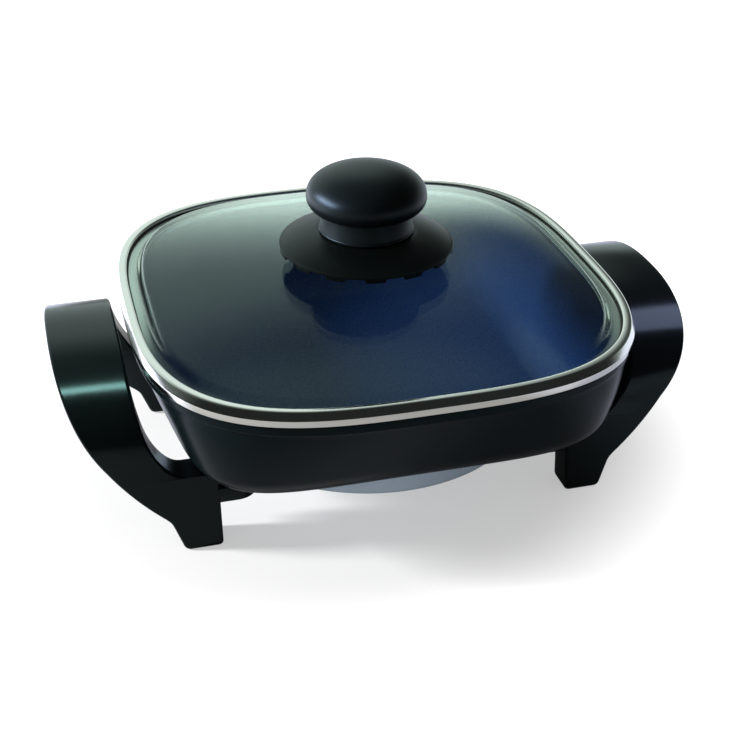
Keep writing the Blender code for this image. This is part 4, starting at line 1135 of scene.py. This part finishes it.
def floor_finish(s):
    """A pale matt floor. The camera sees it lifted to white, and further from the feet painted
    light lifts it more, so that its cast shade stays near them.

    Mirrors also see a glow on it to the left and right of the skillet, weaker towards the front.
    """
    made, m = material("Floor")
    path = m.outputs("ShaderNodeLightPath")
    where = m.axes(m.place((1 / s.shade_x, 1 / s.shade_y, 1)))
    x, y = where["X"] + s.shade_shift, where["Y"]
    # Painted light: the camera sees the floor lifted more the further it lies from the skillet, so
    # the cast shade fades out.
    painted_light_far = m.ease((x * x + y * y).root(), 0.7, 1.25)
    seen = (path["Is Camera Ray"] + path["Is Transmission Ray"]) * (painted_light_far * 0.6 + s.floor_lift)
    behind = m.ease(y, -0.6, 0.2)
    left = m.ease(-where["X"], 0.5, 0.95) * behind * 1.7
    right = m.ease(where["X"], 0.5, 0.95) * (behind * 0.5 + 0.35)
    matt = m.surface(Base_Color=(s.floor_albedo,) * 3, Roughness=1.0, Specular_IOR_Level=0.0)
    lift = m.node("ShaderNodeEmission", {}, ((1, 1, 1), seen))
    glow = (left + right) * path["Is Glossy Ray"]
    sides = m.node("ShaderNodeEmission", {}, ((0.86, 0.94, 1.18), glow))
    both = m.node("ShaderNodeAddShader", {}, (lift, sides))
    m.finish(m.node("ShaderNodeAddShader", {}, (matt, both)))
    return made


def studio(s):
    """A world that is white to the camera. Mirrors see a white back wall and a dark front."""
    world = bpy.data.worlds.new("Studio")
    world.use_nodes = True
    m = Maker(world.node_tree)
    path = m.outputs("ShaderNodeLightPath")
    axes = m.axes(m.node("ShaderNodeTexCoord", {}, (), "Generated"))
    back = m.ease(axes["Y"], *WALL_BACK)
    high = m.ease(axes["Z"], *WALL_HIGH)
    right = 1 - m.ease(axes["X"], *WALL_RIGHT) * m.ease(axes["Z"], *WALL_RIGHT_HIGH) * 0.95
    left = 1 - m.ease(-axes["X"], *WALL_LEFT) * 0.85
    mirror = back * (1 - high * 0.85) * right * left * (s.backdrop - s.gloom) + s.gloom
    direct = path["Is Camera Ray"] + path["Is Transmission Ray"]
    glossy = path["Is Glossy Ray"]
    level = direct + glossy * mirror + (1 - direct - glossy).clamp() * s.ambient
    tint = m.blend(glossy, (1, 1, 1), s.room_tint)
    m.finish(m.node("ShaderNodeBackground", {}, (tint, level)), "World")
    return world


def lamp(name, place, aim, size, shade, only, watts):
    """A soft rectangular lamp that shines towards a point, its first side kept level.

    When a word is given, only the pieces with that word in their name are lit, and the lamp shows
    in their gloss. Otherwise it lights everything and stays out of mirrors.
    """
    light = bpy.data.lights.new(name, "AREA")
    light.shape = "RECTANGLE"
    light.size, light.size_y = size
    light.energy = watts
    light.color = shade
    item = add(name, light)
    back = (Vector(place) - Vector(aim)).normalized()
    level = Vector((0, 1, 0)).cross(back).normalized()
    if abs(back.x) > abs(back.z):
        level = Vector((0, 0, 1)).cross(back).normalized()
    stand(item, place, level, back.cross(level), back)
    item.visible_camera = False
    item.visible_glossy = bool(only)
    if only:
        lit = bpy.data.collections.new(name)
        for piece in bpy.context.scene.objects:
            if only in piece.name:
                lit.objects.link(piece)
        item.light_linking.receiver_collection = lit


class SKILLET_OT_stage(bpy.types.Operator):
    """White floor, world, lamps and the camera"""
    bl_idname = "skillet.stage"
    bl_label = "Stage"

    def execute(self, context):
        s = context.scene.skillet_stage
        floor_mesh = bpy.data.meshes.new("floor")
        half = s.floor_half
        corners = [(-half, -half, 0), (half, -half, 0), (half, half, 0), (-half, half, 0)]
        floor_mesh.from_pydata(corners, [], [(0, 1, 2, 3)])
        floor_mesh.materials.append(floor_finish(s))
        floor = add("floor", floor_mesh)
        context.scene.world = studio(s)
        for values in LAMPS:
            lamp(*values, getattr(s, values[0].replace(" ", "_")))
        self.camera(context, s)
        context.scene.view_settings.view_transform = "Standard"
        return {"FINISHED"}

    def camera(self, context, s):
        """A camera that looks at its target from a distance, turned by yaw, pitch and roll."""
        forward = Vector((math.sin(s.yaw) * math.cos(s.pitch), math.cos(s.yaw) * math.cos(s.pitch),
                          -math.sin(s.pitch)))
        right = Vector((math.cos(s.yaw), -math.sin(s.yaw), 0))
        up = right.cross(forward)
        turned_right = right * math.cos(s.roll) + up * math.sin(s.roll)
        turned_up = up * math.cos(s.roll) - right * math.sin(s.roll)
        data = bpy.data.cameras.new("camera")
        data.sensor_width = SENSOR
        data.lens = s.focal / FRAME_PIXELS * SENSOR
        data.clip_start = 0.01
        item = add("camera", data)
        place = Vector((s.target_x, 0, s.target_z)) - forward * s.distance
        stand(item, place, turned_right, turned_up, -forward)
        context.scene.camera = item


STEPS = (SKILLET_OT_pan, SKILLET_OT_handles, SKILLET_OT_rim, SKILLET_OT_glass, SKILLET_OT_knob,
         SKILLET_OT_fixings, SKILLET_OT_heater, SKILLET_OT_socket, SKILLET_OT_stage)


class SKILLET_PT_panel(bpy.types.Panel):
    """Sizes, colours and steps of the skillet"""
    bl_idname = "SKILLET_PT_panel"
    bl_label = "Electric Skillet"
    bl_space_type = "VIEW_3D"
    bl_region_type = "UI"
    bl_category = "Skillet"

    def draw(self, context):
        for step in STEPS:
            self.layout.operator(step.bl_idname)
        for name, group in GROUPS.items():
            box = self.layout.box()
            box.label(text=group.__doc__)
            for field in group.__annotations__:
                box.prop(getattr(context.scene, name), field)


def register():
    """Register the classes and hang the sizes on the scene."""
    for group in (*GROUPS.values(), *STEPS, SKILLET_PT_panel):
        bpy.utils.register_class(group)
    for name, group in GROUPS.items():
        setattr(bpy.types.Scene, name, bpy.props.PointerProperty(type=group))


def unregister():
    """Take the sizes off the scene and the classes out again."""
    for name in GROUPS:
        delattr(bpy.types.Scene, name)
    for group in reversed((*GROUPS.values(), *STEPS, SKILLET_PT_panel)):
        bpy.utils.unregister_class(group)


def main():
    """Run every step in order."""
    register()
    for step in STEPS:
        group, name = step.bl_idname.split(".")
        getattr(getattr(bpy.ops, group), name)()


if __name__ == "__main__":
    main()
